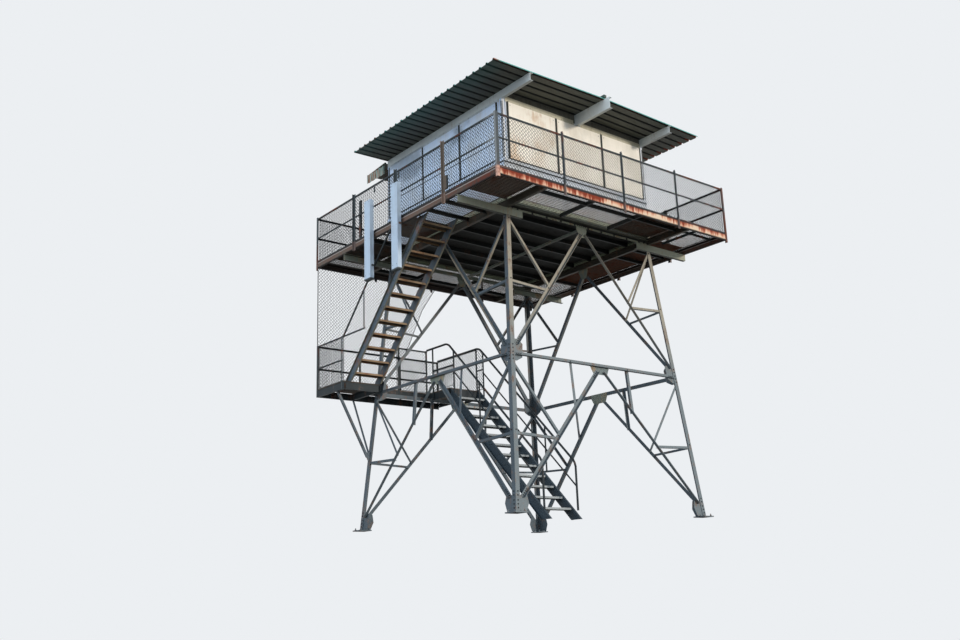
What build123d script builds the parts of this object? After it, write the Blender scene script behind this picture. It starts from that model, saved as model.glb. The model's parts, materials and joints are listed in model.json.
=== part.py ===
from build123d import *
import math
import os

os.makedirs("parts", exist_ok=True)

# Driving dimensions, millimetres. X runs along the sunlit front, Y away from it, Z up.
# Heights that end in _Z are measured from the ground, the others from the deck or the landing.
DECK_Z = 6250.0
CAB_HALF = 2134.0
WALKWAY = 1219.0
LEG_INSET = 38.0
LEG_TOP_DROP = 300.0
BATTER = 0.0857
RING_DROP = 3229.0
FRAME_SHIFT_X = 51.0

# Tower steel.
LEG_FLANGE = 102.0
LEG_T = 10.0
GUSSET_T = 8.0
BRACE_W = 76.0
BRACE_OUT = 64.0
BRACE_T = 7.0
SMALL_W = 50.0
SMALL_T = 6.0
HANGER_W = 64.0
HANGER_SHARE = 0.345
BASE_T = 22.0
BASE_SIZE = 300.0
BASE_HOLE_R = 12.0
BASE_HOLE_IN = 45.0
FOOT_RISE = 110.0
TOP_NODE_DROP = 230.0

# Deck steel.
EDGE_DEPTH = 150.0
EDGE_FLANGE = 50.0
CHANNEL_T = 8.0
BEAM_DEPTH = 142.0
BEAM_FLANGE = 75.0
BEAM_OUT = 37.0
JOIST_DEPTH = 80.0
JOIST_FLANGE = 40.0
JOIST_T = 6.0
JOIST_X = 705.0
FRONT_JOIST_Y = -1480.0
MIDWAY_OUT = 846.0
OUTRIGGER_BACK = 406.0
OUTRIGGER_GAP = 6.0
STRUT_DROP = 65.0
STRUT_OUT = 89.0
STRUT_T = 6.0
PLAN_STRUT_DROP = 215.0
GRATE_T = 30.0
GRATE_RIM = 40.0
GRATE_BAR = 34.0
HATCH_FRONT = -910.0
HATCH_BACK = 1240.0

# Railings.
RAIL_H = 1092.0
MID_H = 600.0
POST_OVER = 38.0
POST_DROP = 205.0
POST_W = 64.0
POST_OUT = 50.0
POST_T = 7.0
RAIL_W = 38.0
RAIL_T = 6.0

# Cab.
WALL_T = 90.0
CAB_BASE = 90.0
FLOOR_T = 25.0
FLOOR_JOIST_PITCH = 600.0
FLOOR_JOIST_FLANGE = 45.0
RIM_OUT = 12.0
SILL_TOP = 948.0
HEAD_BOTTOM = 2190.0
CORNER_W = 95.0
JAMB_W = 62.0
MULLION_W = 75.0
MULLION_LEFT = -638.0
MULLION_RIGHT = 735.0
BACK_MULLION_X = -450.0
DOOR_W = 859.0
SHUTTER_T = 40.0
SHUTTER_LAP = 10.0
LEDGE_OUT = 24.0
LEDGE_LOW = 862.0
LEDGE_TOP = 928.0

# Roof and hood.
EAVE_DROP = 2425.0
RIDGE_RISE = 50.0
ROOF_OUT_SIDE = 932.0
ROOF_OUT_FRONT = 922.0
ROOF_OUT_BACK = 16.0
SHEET_T = 2.0
RIB_H = 32.0
RIB_COUNT = 25
BEAM_H = 170.0
BEAM_SETBACK = 8.0
MIDDLE_BEAM_X = -20.0
MIDDLE_BEAM_DROP = 55.0
MIDDLE_BEAM_OUT = 144.0
HOOD_RISE = 110.0
HOOD_SIDE = 96.0
HOOD_OUT = 750.0
HOOD_FALL = 60.0
HOOD_SKIRT = 215.0
HOOD_RIB = 24.0

# Landing and stairs.
LANDING_DROP = 3060.0
LANDING_RIGHT = 90.0
LANDING_DEPTH = 180.0
LANDING_FLOOR_T = 30.0
LANDING_INSET = 53.0
STEP_OFF = 39.0
FRONT_OFF = 67.0
FOOT_OFF = 4.0
STAIR_W = 715.0
STAIR_INSET = 178.0
STAIR_HEAD_Y = -640.0
RISE = 241.5
RUN = 241.0
FIRST_RISE = 225.0
UPPER_TREADS = 12
TREAD_DEPTH = 215.0
TREAD_T = 5.0
TREAD_LIP = 42.0
LOWER_X0 = -800.0
LOWER_X1 = -20.0
LOWER_HEAD_Y = 1620.0
LOWER_FOOT_Y = -1560.0
LOWER_TREADS = 12
GUARD_H = 1010.0
GUARD_MID_H = 490.0
GUARD_POST_W = 50.0
GUARD_PITCH = 1120.0
GUARD_START = 700.0
PIPE_R = 24.0
PIPE_POST_R = 19.0
LOWER_FLANGE = 50.0
PIPE_OVER = 20.0
BEND_R = 80.0
STRUT_LIFT = 1450.0

# Boxes hung outside the left railing.
PANEL_W = 230.0
PANEL_T = 95.0
PANEL_OFF = 52.0
TALL_BOX_Y = 1490.0
TALL_BOX_RISE = 60.0
TALL_BOX_H = 880.0
SMALL_BOX_Y = -1760.0
SMALL_BOX_RISE = 90.0
SMALL_BOX_H = 280.0
INSIDE_BOX_W = 80.0
INSIDE_BOX_T = 34.0

DECK_HALF = CAB_HALF + WALKWAY
LEG_HALF_AT_DECK = CAB_HALF - LEG_INSET
LEG_BASE_HALF = LEG_HALF_AT_DECK + BATTER * DECK_Z
LEG_TOP_Z = DECK_Z - LEG_TOP_DROP
RING_Z = DECK_Z - RING_DROP
RING_HALF = LEG_BASE_HALF - BATTER * RING_Z
LANDING_Z = DECK_Z - LANDING_DROP
SLANT = math.sqrt(1.0 + BATTER * BATTER)
BEAM_X = LEG_HALF_AT_DECK + BEAM_OUT
ROOF_HALF_X = CAB_HALF + ROOF_OUT_SIDE
ROOF_FRONT = CAB_HALF + ROOF_OUT_FRONT
ROOF_BACK = CAB_HALF + ROOF_OUT_BACK
FLOOR_Z = DECK_Z + CAB_BASE
FLOOR_BASE = DECK_Z - CHANNEL_T
WALL_Z = FLOOR_Z + FLOOR_T
HEAD_Z = DECK_Z + HEAD_BOTTOM
EAVE_Z = DECK_Z + EAVE_DROP
BEAM_Z = EAVE_Z + RIDGE_RISE * (1 - CAB_HALF / ROOF_HALF_X) - BEAM_H
OPENING_HALF = CAB_HALF - CORNER_W
DOOR_X = OPENING_HALF - DOOR_W
HOOD_X0 = -CAB_HALF - HOOD_SIDE
HOOD_X1 = -DOOR_X
HOOD_Z = HEAD_Z + HOOD_RISE
STAIR_LEFT = DECK_HALF - STAIR_INSET
LANDING_FRONT = RING_HALF + FRONT_OFF
LANDING_STEP = -RING_HALF - STEP_OFF
LANDING_BACK = DECK_HALF - LANDING_INSET
FOOT_FRONT = LEG_HALF_AT_DECK + FOOT_OFF
PIPE_H = GUARD_H + PIPE_OVER
PIPE_FLAT = PIPE_POST_R * math.cos(math.pi / 8) + 0.2


def box(x0, x1, y0, y1, z0, z1):
    """Axis-aligned box from its limits."""
    size = (x1 - x0, y1 - y0, z1 - z0)
    middle = ((x0 + x1) / 2, (y0 + y1) / 2, (z0 + z1) / 2)
    return Pos(*middle) * Box(*size)


def flat(points):
    """Filled outline with its normal toward the viewer, whichever way it is listed."""
    area = 0.0
    for (ax, ay), (bx, by) in zip(points, points[1:] + points[:1]):
        area += ax * by - bx * ay
    ordered = list(points) if area > 0 else list(points)[::-1]
    return Polygon(*ordered, align=None)


def face_half(z):
    """Half width of the leg square at a height."""
    return LEG_BASE_HALF - BATTER * z


def section(points, start, along, across):
    """Solid of a closed profile run from start by the vector along."""
    length = Vector(*along).length
    plane = Plane(origin=start, x_dir=across, z_dir=along)
    return extrude(plane * flat(points), amount=length)


def angle_points(wide, deep, t, low):
    """Profile of an angle: flat flange across, outstanding flange upward."""
    h = wide / 2
    return [
        (-h, low),
        (h, low),
        (h, low + t),
        (-h + t, low + t),
        (-h + t, low + deep),
        (-h, low + deep),
    ]


def channel_points(depth, flange, t):
    """Profile of a channel: web on x = 0 from y = 0 to depth, flanges to +x."""
    return [
        (0, 0),
        (flange, 0),
        (flange, t),
        (t, t),
        (t, depth - t),
        (flange, depth - t),
        (flange, depth),
        (0, depth),
    ]


def face_bar(p, q, wide, deep, t, low, outward=True):
    """Angle bar in the flat of a tower face, u across and v up the batter."""
    points = angle_points(wide, deep, t, 0)
    turn = 1 if outward else -1
    points = [(a, low + turn * b) for a, b in points]
    along = (q[0] - p[0], q[1] - p[1], 0)
    across = (-along[1], along[0], 0)
    return section(points, (p[0], p[1], 0), along, across)


def shortened(p, q, cut_p, cut_q):
    """The ends of a line moved inward by two lengths."""
    length = math.dist(p, q)
    ux, uy = (q[0] - p[0]) / length, (q[1] - p[1]) / length
    return (p[0] + ux * cut_p, p[1] + uy * cut_p), (q[0] - ux * cut_q, q[1] - uy * cut_q)


def plate(points, w0, w1):
    """Flat plate in a tower face between two offsets from the face."""
    return Pos(0, 0, w0) * extrude(flat(points), amount=w1 - w0)


FACE = Plane(origin=(0, -LEG_BASE_HALF, 0), x_dir=(1, 0, 0), z_dir=(0, -1, BATTER))


def on_faces(solids, turns=range(4)):
    """Copies of face-local solids on the tower's faces, by quarter turns."""
    placed = []
    for turn in turns:
        for solid in solids:
            placed.append(Rot(0, 0, 90 * turn) * (FACE.location * solid))
    return placed


def mirrored(solids):
    """The solids and their mirror images across the face's middle."""
    return list(solids) + [s.mirror(Plane.YZ) for s in solids]


def up(z):
    """Distance up the battered face at a height."""
    return z * SLANT


def build_legs():
    h, f, t = LEG_BASE_HALF, LEG_FLANGE, LEG_T
    outline = [(-h, -h), (-h + f, -h), (-h + f, -h + t), (-h + t, -h + t), (-h + t, -h + f), (-h, -h + f)]
    rise = LEG_TOP_Z - BASE_T
    direction = (BATTER, BATTER, 1.0)
    shift = BATTER * BASE_T
    moved = [(x + shift, y + shift) for x, y in outline]
    leg = extrude(
        Pos(0, 0, BASE_T) * flat(moved),
        amount=rise * math.sqrt(1 + 2 * BATTER * BATTER),
        dir=direction,
    )
    return [Rot(0, 0, 90 * k) * leg for k in range(4)]


def build_base_plates():
    c = LEG_BASE_HALF - 40
    reach = BASE_SIZE / 2 - BASE_HOLE_IN
    pad = Rectangle(BASE_SIZE, BASE_SIZE)
    for dx in (-reach, reach):
        for dy in (-reach, reach):
            pad -= Pos(dx, dy) * RegularPolygon(BASE_HOLE_R, 8)
    pad = extrude(pad, amount=BASE_T)
    return [Pos(sx * c, sy * c, 0) * pad for sx in (-1, 1) for sy in (-1, 1)]


# Nodes of the bracing pattern in one face: u across, v up the batter.
TOP_NODE = (0.0, up(DECK_Z - TOP_NODE_DROP))
RING_NODE = (-face_half(RING_Z), up(RING_Z))
RING_MID = (0.0, up(RING_Z))
BASE_NODE = (-face_half(0) + 30, up(BASE_T + FOOT_RISE))
LAYER = -LEG_T


def cut_for_leg(p, q, wide):
    """Length to remove at a leg so that a bar's end corner clears the flange."""
    length = math.dist(p, q)
    cos_a = abs(q[0] - p[0]) / length
    sin_a = abs(q[1] - p[1]) / length
    return (LEG_FLANGE + 22 + wide / 2 * sin_a) / cos_a


def main_bars(low_node, high_node, gap_high):
    cut = cut_for_leg(low_node, high_node, BRACE_W)
    a, b = shortened(low_node, high_node, cut, gap_high)
    return a, b


def build_upper_braces():
    a, b = main_bars(RING_NODE, TOP_NODE, 95)
    bar = face_bar(a, b, BRACE_W, BRACE_OUT, BRACE_T, LAYER)
    return on_faces(mirrored([bar]))


def build_lower_braces():
    a, b = main_bars(BASE_NODE, (RING_MID[0], RING_MID[1] - 20), 135)
    bar = face_bar(a, b, BRACE_W, BRACE_OUT, BRACE_T, LAYER)
    return on_faces(mirrored([bar]))


def build_ring_struts():
    edge = face_half(RING_Z) - LEG_FLANGE - 10
    bar = face_bar((-edge, RING_MID[1]), (edge, RING_MID[1]), BRACE_W, BRACE_OUT, BRACE_T, LAYER)
    return on_faces([bar])


def build_top_gussets():
    """Gussets under the deck; front and back ones reach up behind the top struts."""
    v = TOP_NODE[1]
    gussets = []
    for turns, drop in (((0, 2), EDGE_DEPTH - 40), ((1, 3), EDGE_DEPTH)):
        top = up(DECK_Z - drop)
        points = [(-150, top), (150, top), (150, v + 20), (70, v - 150), (-70, v - 150), (-150, v + 20)]
        gussets += on_faces([plate(points, LAYER - GUSSET_T, LAYER)], turns)
    return gussets


def beside_leg(v, offset):
    """Point in a face at an offset from the left leg's heel."""
    return (offset - face_half(v / SLANT), v)


def build_ring_gussets():
    v = RING_NODE[1]
    corners = [(16, 200), (71, 298), (212, 292), (308, 205), (292, -70), (155, -145), (16, -140)]
    points = [beside_leg(v + rise, off) for off, rise in corners]
    return on_faces(mirrored([plate(points, LAYER - GUSSET_T, LAYER)]))


def build_ring_mid_gussets():
    v = RING_MID[1]
    points = [(-260, v + 38), (260, v + 38), (260, v - 50), (190, v - 190), (-190, v - 190), (-260, v - 50)]
    return on_faces([plate(points, LAYER - GUSSET_T, LAYER)])


def build_foot_gussets():
    v = BASE_NODE[1]
    foot = up(BASE_T) + 6
    points = [
        beside_leg(foot, 16),
        beside_leg(foot, 260),
        beside_leg(v + 60, 320),
        beside_leg(v + 230, 270),
        beside_leg(v + 170, 16),
    ]
    return on_faces(mirrored([plate(points, LAYER - GUSSET_T, LAYER)]))


def on_line(p, q, share):
    """Point on a line by its share of the length."""
    return (p[0] + (q[0] - p[0]) * share, p[1] + (q[1] - p[1]) * share)


def build_upper_redundants():
    share = 0.5
    node_hi = on_line(RING_NODE, TOP_NODE, share + 0.016)
    node_lo = on_line(RING_NODE, TOP_NODE, share - 0.016)
    leg_top_z = LEG_TOP_Z - 60
    leg_top = (-face_half(leg_top_z) + 62, up(leg_top_z))
    leg_mid_v = node_lo[1] + 60
    leg_mid = (-face_half(leg_mid_v / SLANT) + 62, leg_mid_v)
    bars = [
        face_bar(leg_top, node_hi, SMALL_W, 50, SMALL_T, LAYER, False),
        face_bar(leg_mid, node_lo, SMALL_W, 50, SMALL_T, LAYER, False),
    ]
    return on_faces(mirrored(bars))


def build_lower_redundants():
    low = BASE_NODE
    high = (RING_MID[0], RING_MID[1] - 20)
    node_hi = on_line(low, high, 0.47 + 0.016)
    node_lo = on_line(low, high, 0.47 - 0.016)
    leg_top_v = RING_NODE[1] - 182
    leg_top = (-face_half(leg_top_v / SLANT) + 62, leg_top_v)
    leg_mid_v = node_lo[1] + 40
    leg_mid = (-face_half(leg_mid_v / SLANT) + 62, leg_mid_v)
    bars = [
        face_bar(leg_top, node_hi, SMALL_W, 50, SMALL_T, LAYER, False),
        face_bar(leg_mid, node_lo, SMALL_W, 50, SMALL_T, LAYER, False),
    ]
    return on_faces(mirrored(bars))


def build_ring_hangers():
    low = BASE_NODE
    high = (RING_MID[0], RING_MID[1] - 20)
    u = -RING_HALF * HANGER_SHARE
    share = (u - low[0]) / (high[0] - low[0])
    foot = on_line(low, high, share)
    bar = face_bar((u, foot[1] - 12), (u, RING_MID[1] + 20), HANGER_W, 50, SMALL_T, LAYER, False)
    return on_faces(mirrored([bar]))


def channel_x(x0, x1, y_web, z0, depth, flange, t, toward):
    """Channel along X with its web at y_web and flanges toward +Y or -Y."""
    points = [(toward * a, b) for a, b in channel_points(depth, flange, t)]
    plane = Plane(origin=(x0, y_web, z0), x_dir=(0, 1, 0), z_dir=(1, 0, 0))
    return extrude(plane * flat(points), amount=x1 - x0)


def channel_y(y0, y1, x_web, z0, depth, flange, t, toward):
    """Channel along Y with its web at x_web and flanges toward +X or -X."""
    points = [(-toward * a, b) for a, b in channel_points(depth, flange, t)]
    plane = Plane(origin=(x_web, y0, z0), x_dir=(-1, 0, 0), z_dir=(0, 1, 0))
    return extrude(plane * flat(points), amount=y1 - y0)


def build_outriggers():
    y = LEG_HALF_AT_DECK + BATTER * LEG_TOP_DROP + OUTRIGGER_GAP
    inner = LEG_HALF_AT_DECK - OUTRIGGER_BACK
    bars = []
    for sx in (-1, 1):
        for sy in (-1, 1):
            x0, x1 = sorted((sx * inner, sx * (DECK_HALF - 2)))
            bars.append(channel_x(x0, x1, sy * y, LEG_TOP_Z, LEG_TOP_DROP - EDGE_DEPTH, BEAM_FLANGE, CHANNEL_T, -sy))
    return bars


def build_main_beams():
    y = DECK_HALF - EDGE_FLANGE
    z = DECK_Z - EDGE_DEPTH
    return [channel_y(-y, y, sx * BEAM_X, z, BEAM_DEPTH, BEAM_FLANGE, CHANNEL_T, -sx) for sx in (-1, 1)]


def build_edge_channels():
    d, z = DECK_HALF, DECK_Z - EDGE_DEPTH
    bars = []
    for k in range(4):
        bar = channel_x(-d + EDGE_FLANGE, d, -d, z, EDGE_DEPTH, EDGE_FLANGE, CHANNEL_T, 1)
        bars.append(Rot(0, 0, 90 * k) * bar)
    return bars


def strut_back():
    """Distance from the middle to the upright leg of a top strut."""
    return face_half(DECK_Z - EDGE_DEPTH) + LAYER * SLANT + 0.1


def build_top_struts():
    """Angles between the main beams, over the front and back top gussets, and the strut across."""
    y0 = strut_back()
    reach = BEAM_X - BEAM_FLANGE
    low, high = DECK_Z - EDGE_DEPTH, DECK_Z - STRUT_DROP
    points = [(0, low), (STRUT_T, low), (STRUT_T, high - STRUT_T)]
    points += [(STRUT_OUT, high - STRUT_T), (STRUT_OUT, high), (0, high)]
    plane = Plane(origin=(-reach, y0, 0), x_dir=(0, 1, 0), z_dir=(1, 0, 0))
    strut = extrude(plane * flat(points), amount=2 * reach)
    return [strut, Rot(0, 0, 180) * strut]


def build_plan_strut():
    """Angle along Y between the gussets of the front and back faces."""
    z = DECK_Z - PLAN_STRUT_DROP
    reach = face_half(z + SMALL_W) + (LAYER - GUSSET_T) * SLANT - 0.3
    h = SMALL_W / 2
    points = [(-h, 0), (h, 0), (h, SMALL_T), (-h + SMALL_T, SMALL_T), (-h + SMALL_T, SMALL_W), (-h, SMALL_W)]
    plane = Plane(origin=(0, reach, z), x_dir=(1, 0, 0), z_dir=(0, -1, 0))
    return [extrude(plane * flat(points), amount=2 * reach)]


def build_walkway_joists():
    """Joists from the cab to the edge, and the members halfway along the front and back walkways."""
    z = FLOOR_BASE - JOIST_DEPTH
    size = (z, JOIST_DEPTH, JOIST_FLANGE, JOIST_T)
    tip = BEAM_X - BEAM_FLANGE
    inner = strut_back() + STRUT_OUT
    midway = CAB_HALF + MIDWAY_OUT
    bars = []
    for turn in (0, 180):
        for x in (-JOIST_X, JOIST_X):
            bars.append(Rot(0, 0, turn) * channel_y(-DECK_HALF + CHANNEL_T, -inner, x, *size, 1))
        runs = ((-tip, -JOIST_X), (-JOIST_X + JOIST_FLANGE, JOIST_X), (JOIST_X + JOIST_FLANGE, tip))
        for x0, x1 in runs:
            bars.append(Rot(0, 0, turn) * channel_x(x0, x1, -midway, *size, 1))
    for sx in (-1, 1):
        for y in (FRONT_JOIST_Y, HATCH_FRONT, HATCH_BACK + JOIST_FLANGE):
            x0, x1 = sorted((sx * BEAM_X, sx * (DECK_HALF - CHANNEL_T)))
            bars.append(channel_x(x0, x1, y, *size, -1))
    return bars


def build_floor_rim():
    c = CAB_HALF + RIM_OUT
    bars = []
    for k in range(4):
        bar = channel_x(-c + EDGE_FLANGE, c, -c, FLOOR_BASE, FLOOR_Z - FLOOR_BASE, EDGE_FLANGE, CHANNEL_T, 1)
        bars.append(Rot(0, 0, 90 * k) * bar)
    return bars


def build_cab_floor():
    c = CAB_HALF + 2
    return [box(-c, c, -c, c, FLOOR_Z, FLOOR_Z + FLOOR_T)]


def build_floor_joists():
    c = CAB_HALF + RIM_OUT - EDGE_FLANGE
    depth = FLOOR_Z - FLOOR_BASE
    rows = [(k - 2.5) * FLOOR_JOIST_PITCH for k in range(6)]
    return [channel_x(-c, c, y, FLOOR_BASE, depth, FLOOR_JOIST_FLANGE, JOIST_T, 1) for y in rows]


def grating(x0, x1, y0, y1, nx, ny):
    """Walkway slab cut into a plain grid of openings."""
    slab = flat([(x0, y0), (x1, y0), (x1, y1), (x0, y1)])
    step_x = (x1 - x0 - 2 * GRATE_RIM + GRATE_BAR) / nx
    step_y = (y1 - y0 - 2 * GRATE_RIM + GRATE_BAR) / ny
    for i in range(nx):
        for j in range(ny):
            a, b = x0 + GRATE_RIM + i * step_x, y0 + GRATE_RIM + j * step_y
            c, d = a + step_x - GRATE_BAR, b + step_y - GRATE_BAR
            slab -= flat([(a, b), (c, b), (c, d), (a, d)])
    return extrude(Pos(0, 0, FLOOR_BASE) * slab, amount=GRATE_T)


def build_gratings():
    inner = CAB_HALF + RIM_OUT + 1
    outer = DECK_HALF - EDGE_FLANGE
    side = inner - 4
    return [
        grating(-outer, outer, -outer, -inner, 12, 2),
        grating(-outer, outer, inner, outer, 12, 2),
        grating(inner, outer, -side, side, 2, 8),
        grating(-outer, -inner, -side, HATCH_FRONT, 2, 2),
        grating(-outer, -inner, HATCH_BACK, side, 2, 2),
    ]


def build_railing(turn):
    """Angle posts and rails of one side, fused into one frame."""
    d, t = DECK_HALF, POST_T
    low, high = DECK_Z - POST_DROP, DECK_Z + RAIL_H + POST_OVER
    frame = box(-d - t, -d + POST_W - t, -d - t, -d, low, DECK_Z + RAIL_H + 20)
    for x in (-d / 2, 0, d / 2):
        frame += box(x, x + POST_W, -d - t, -d, low, high)
        frame += box(x, x + t, -d - POST_OUT, -d, low, high)
    for top in (RAIL_H, MID_H):
        z = DECK_Z + top
        frame += box(-d, d - CHANNEL_T, -d, -d + RAIL_T, z - RAIL_W, z)
        frame += box(-d + RAIL_W, d - CHANNEL_T, -d, -d + RAIL_W, z - RAIL_T, z)
    return [Rot(0, 0, turn) * frame]


def turned_wall(turn, x0, x1, z0, z1, y0, y1):
    """Upright slab given for the front wall and turned into place."""
    return Rot(0, 0, turn) * box(x0, x1, -CAB_HALF + y0, -CAB_HALF + y1, z0, z1)


def build_corner_posts():
    c, w = CAB_HALF, CORNER_W
    return [Rot(0, 0, 90 * k) * box(-c, -c + w, -c, -c + w, WALL_Z, HEAD_Z) for k in range(4)]


def build_sill_walls():
    top = DECK_Z + SILL_TOP
    inner = OPENING_HALF
    slabs = [turned_wall(k, -inner, inner, WALL_Z, top, 0, WALL_T) for k in (0, 90, 270)]
    slabs.append(turned_wall(180, -inner, DOOR_X - MULLION_W, WALL_Z, top, 0, WALL_T))
    return slabs


def build_sill_ledges():
    """Boards that stand proud along the bottom of the shutters."""
    c, out = CAB_HALF, LEDGE_OUT
    low, high = DECK_Z + LEDGE_LOW, DECK_Z + LEDGE_TOP
    ledges = [turned_wall(k, -c, c, low, high, -out, 0) for k in (0, 90, 270)]
    ledges.append(turned_wall(180, -c, DOOR_X - MULLION_W, low, high, -out, 0))
    return ledges


def mullions_of(turn):
    """Centres of a wall's mullions."""
    return (BACK_MULLION_X,) if turn == 180 else (MULLION_LEFT, MULLION_RIGHT)


def build_mullions():
    """Jambs and mullions of the window openings, and the post beside the door."""
    z0 = DECK_Z + SILL_TOP
    h, inner = MULLION_W / 2, OPENING_HALF
    bars = []
    for turn in (0, 90, 180, 270):
        for x in mullions_of(turn):
            bars.append(turned_wall(turn, x - h, x + h, z0, HEAD_Z, 0, WALL_T))
        bars.append(turned_wall(turn, -inner, -inner + JAMB_W, z0, HEAD_Z, 0, WALL_T))
        if turn != 180:
            bars.append(turned_wall(turn, inner - JAMB_W, inner, z0, HEAD_Z, 0, WALL_T))
    bars.append(turned_wall(180, DOOR_X - MULLION_W, DOOR_X, WALL_Z, HEAD_Z, 0, WALL_T))
    return bars


def build_head_walls():
    """Walls over the windows; front and back are notched for the middle roof beam."""
    c = CAB_HALF
    slabs = []
    for turn in (0, 180):
        slab = turned_wall(turn, -c, c, HEAD_Z, BEAM_Z, 0, WALL_T)
        x0, x1 = MIDDLE_BEAM_X, MIDDLE_BEAM_X + BEAM_FLANGE
        slabs.append(slab - box(x0, x1, -c - 1, c + 1, BEAM_Z - MIDDLE_BEAM_DROP, BEAM_Z + 1))
    for turn in (90, 270):
        slabs.append(turned_wall(turn, -c + WALL_T, c - WALL_T, HEAD_Z, BEAM_Z, 0, WALL_T))
    return slabs


def shutter(turn, x0, x1):
    """Closed shutter lapping its frame by a little on every edge."""
    z0, z1 = DECK_Z + SILL_TOP - SHUTTER_LAP, HEAD_Z + SHUTTER_LAP
    return turned_wall(turn, x0 - SHUTTER_LAP, x1 + SHUTTER_LAP, z0, z1, -SHUTTER_T, 0)


def build_shutters(turn):
    inner, h = OPENING_HALF - JAMB_W, MULLION_W / 2
    edges = [-inner]
    for x in mullions_of(turn):
        edges += [x - h, x + h]
    edges.append(DOOR_X - MULLION_W if turn == 180 else inner)
    return [shutter(turn, a, b) for a, b in zip(edges[0::2], edges[1::2])]


def build_door():
    return [turned_wall(180, DOOR_X, OPENING_HALF, WALL_Z, HEAD_Z, 25, 65)]


def underside(x):
    """Height of the roof sheet's underside over a point."""
    return EAVE_Z + RIDGE_RISE * (1 - abs(x) / ROOF_HALF_X)


def build_roof_beams():
    c, flange, t = CAB_HALF, BEAM_FLANGE, CHANNEL_T
    y0, y1 = -ROOF_FRONT + BEAM_SETBACK, ROOF_BACK - ROOF_OUT_BACK
    x, low = MIDDLE_BEAM_X, BEAM_Z - MIDDLE_BEAM_DROP
    depth = underside(x + flange) - low
    return [
        channel_y(y0, y1, -c, BEAM_Z, BEAM_H, flange, t, 1),
        channel_y(-ROOF_FRONT - MIDDLE_BEAM_OUT, y1, x, low, depth, flange, t, 1),
        channel_y(y0, y1, c - flange, BEAM_Z, BEAM_H, flange, t, 1),
    ]


def build_eave_closures():
    """Wedges between the beams over the front and back walls."""
    c = CAB_HALF
    x = MIDDLE_BEAM_X
    solids = []
    for y0 in (-c + 10, c - 60):
        for x0, x1 in ((-c + CHANNEL_T, x), (x + CHANNEL_T, c - BEAM_FLANGE)):
            a, b = x0 + BEAM_FLANGE + 1, x1 - 1
            points = [(a, BEAM_Z), (b, BEAM_Z), (b, underside(b))]
            if a < 0 < b:
                points.append((0, underside(0)))
            points.append((a, underside(a)))
            plane = Plane(origin=(0, y0 + 50, 0), x_dir=(1, 0, 0), z_dir=(0, -1, 0))
            solids.append(extrude(plane * flat(points), amount=50))
    return solids


def sheet_profile(y0, y1, count, height, t):
    """Cross-section of a ribbed sheet: flat pans and narrow raised ribs."""
    pitch = (y1 - y0 - 70) / (count - 1)
    low = [(y0, 0)]
    high = [(y0, t)]
    for i in range(count):
        c = y0 + 35 + pitch * i
        low += [(c - 30, 0), (c - 16, height), (c + 16, height), (c + 30, 0)]
        high += [(c - 31, t), (c - 17, height + t), (c + 17, height + t), (c + 31, t)]
    low.append((y1, 0))
    high.append((y1, t))
    return low + high[::-1]


def build_roof_sheets():
    """The two slopes of the roof, which meet under the ridge cap."""
    profile = sheet_profile(-ROOF_FRONT, ROOF_BACK, RIB_COUNT, RIB_H, SHEET_T)
    plane = Plane(origin=(-ROOF_HALF_X, 0, EAVE_Z), x_dir=(0, 1, 0), z_dir=(1, 0, 0))
    run = ROOF_HALF_X - 2
    fall = Vector(run, 0, RIDGE_RISE * run / ROOF_HALF_X)
    sheet = extrude(plane * flat(profile), amount=fall.length, dir=tuple(fall))
    return [sheet, sheet.mirror(Plane.YZ)]


def build_ridge_cap():
    z = EAVE_Z + RIDGE_RISE + RIB_H + SHEET_T
    y0, y1 = -ROOF_FRONT - 6, ROOF_BACK + 6
    cap = box(-70, 70, y0, y1, z, z + 3)
    cap += box(-28, 42, y0, y1, z, z + 70)
    return [cap]


def build_hood():
    y0, y1 = CAB_HALF, CAB_HALF + HOOD_OUT
    points = sheet_profile(HOOD_X0, HOOD_X1, 6, HOOD_RIB, SHEET_T)
    plane = Plane(origin=(0, y1, HOOD_Z), x_dir=(1, 0, 0), z_dir=(0, -1, 0))
    fall = Vector(0, -(y1 - y0), HOOD_FALL)
    roof = extrude(plane * flat(points), amount=fall.length, dir=tuple(fall))
    skirt_points = sheet_profile(y0 + 2, y1, 5, HOOD_RIB - 2, SHEET_T)
    plane = Plane(origin=(HOOD_X0, 0, HOOD_Z - HOOD_SKIRT), x_dir=(0, 1, 0), z_dir=(0, 0, 1))
    skirt = extrude(plane * flat(skirt_points), amount=HOOD_SKIRT)
    return [roof, skirt]


def side_run(y_top, z_top, y_low, z_low, depth, z_min, z_max):
    """Side outline of a stair stringer clipped between two heights, as (y, z)."""
    dy, dz = y_low - y_top, z_low - z_top
    length = math.hypot(dy, dz)
    uy, uz = dy / length, dz / length
    ny, nz = -uz, uy
    if nz < 0:
        ny, nz = -ny, -nz
    h = depth / 2

    def at(z, off):
        t = (z - z_top - nz * off) / uz
        return (y_top + uy * t + ny * off, z)

    return at(z_max, -h), at(z_max, h), at(z_min, h), at(z_min, -h), (ny, nz)


def build_stringer(x, toward, line, depth, flange, t, z_min, z_max):
    """Channel stringer: web in a YZ plane, flanges along both edges."""
    y_top, z_top, y_low, z_low = line
    plane = Plane(origin=(x, 0, 0), x_dir=(0, 1, 0), z_dir=(1, 0, 0))
    p0, p1, p2, p3, _ = side_run(y_top, z_top, y_low, z_low, depth, z_min, z_max)
    web = extrude(plane * flat([p0, p1, p2, p3]), amount=toward * t)
    q0, q1, q2, q3, _ = side_run(y_top, z_top, y_low, z_low, depth - 2 * t, z_min, z_max)
    upper = extrude(plane * flat([p1, p2, q2, q1]), amount=toward * flange)
    lower = extrude(plane * flat([p0, p3, q3, q0]), amount=toward * flange)
    return web + upper + lower


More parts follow.
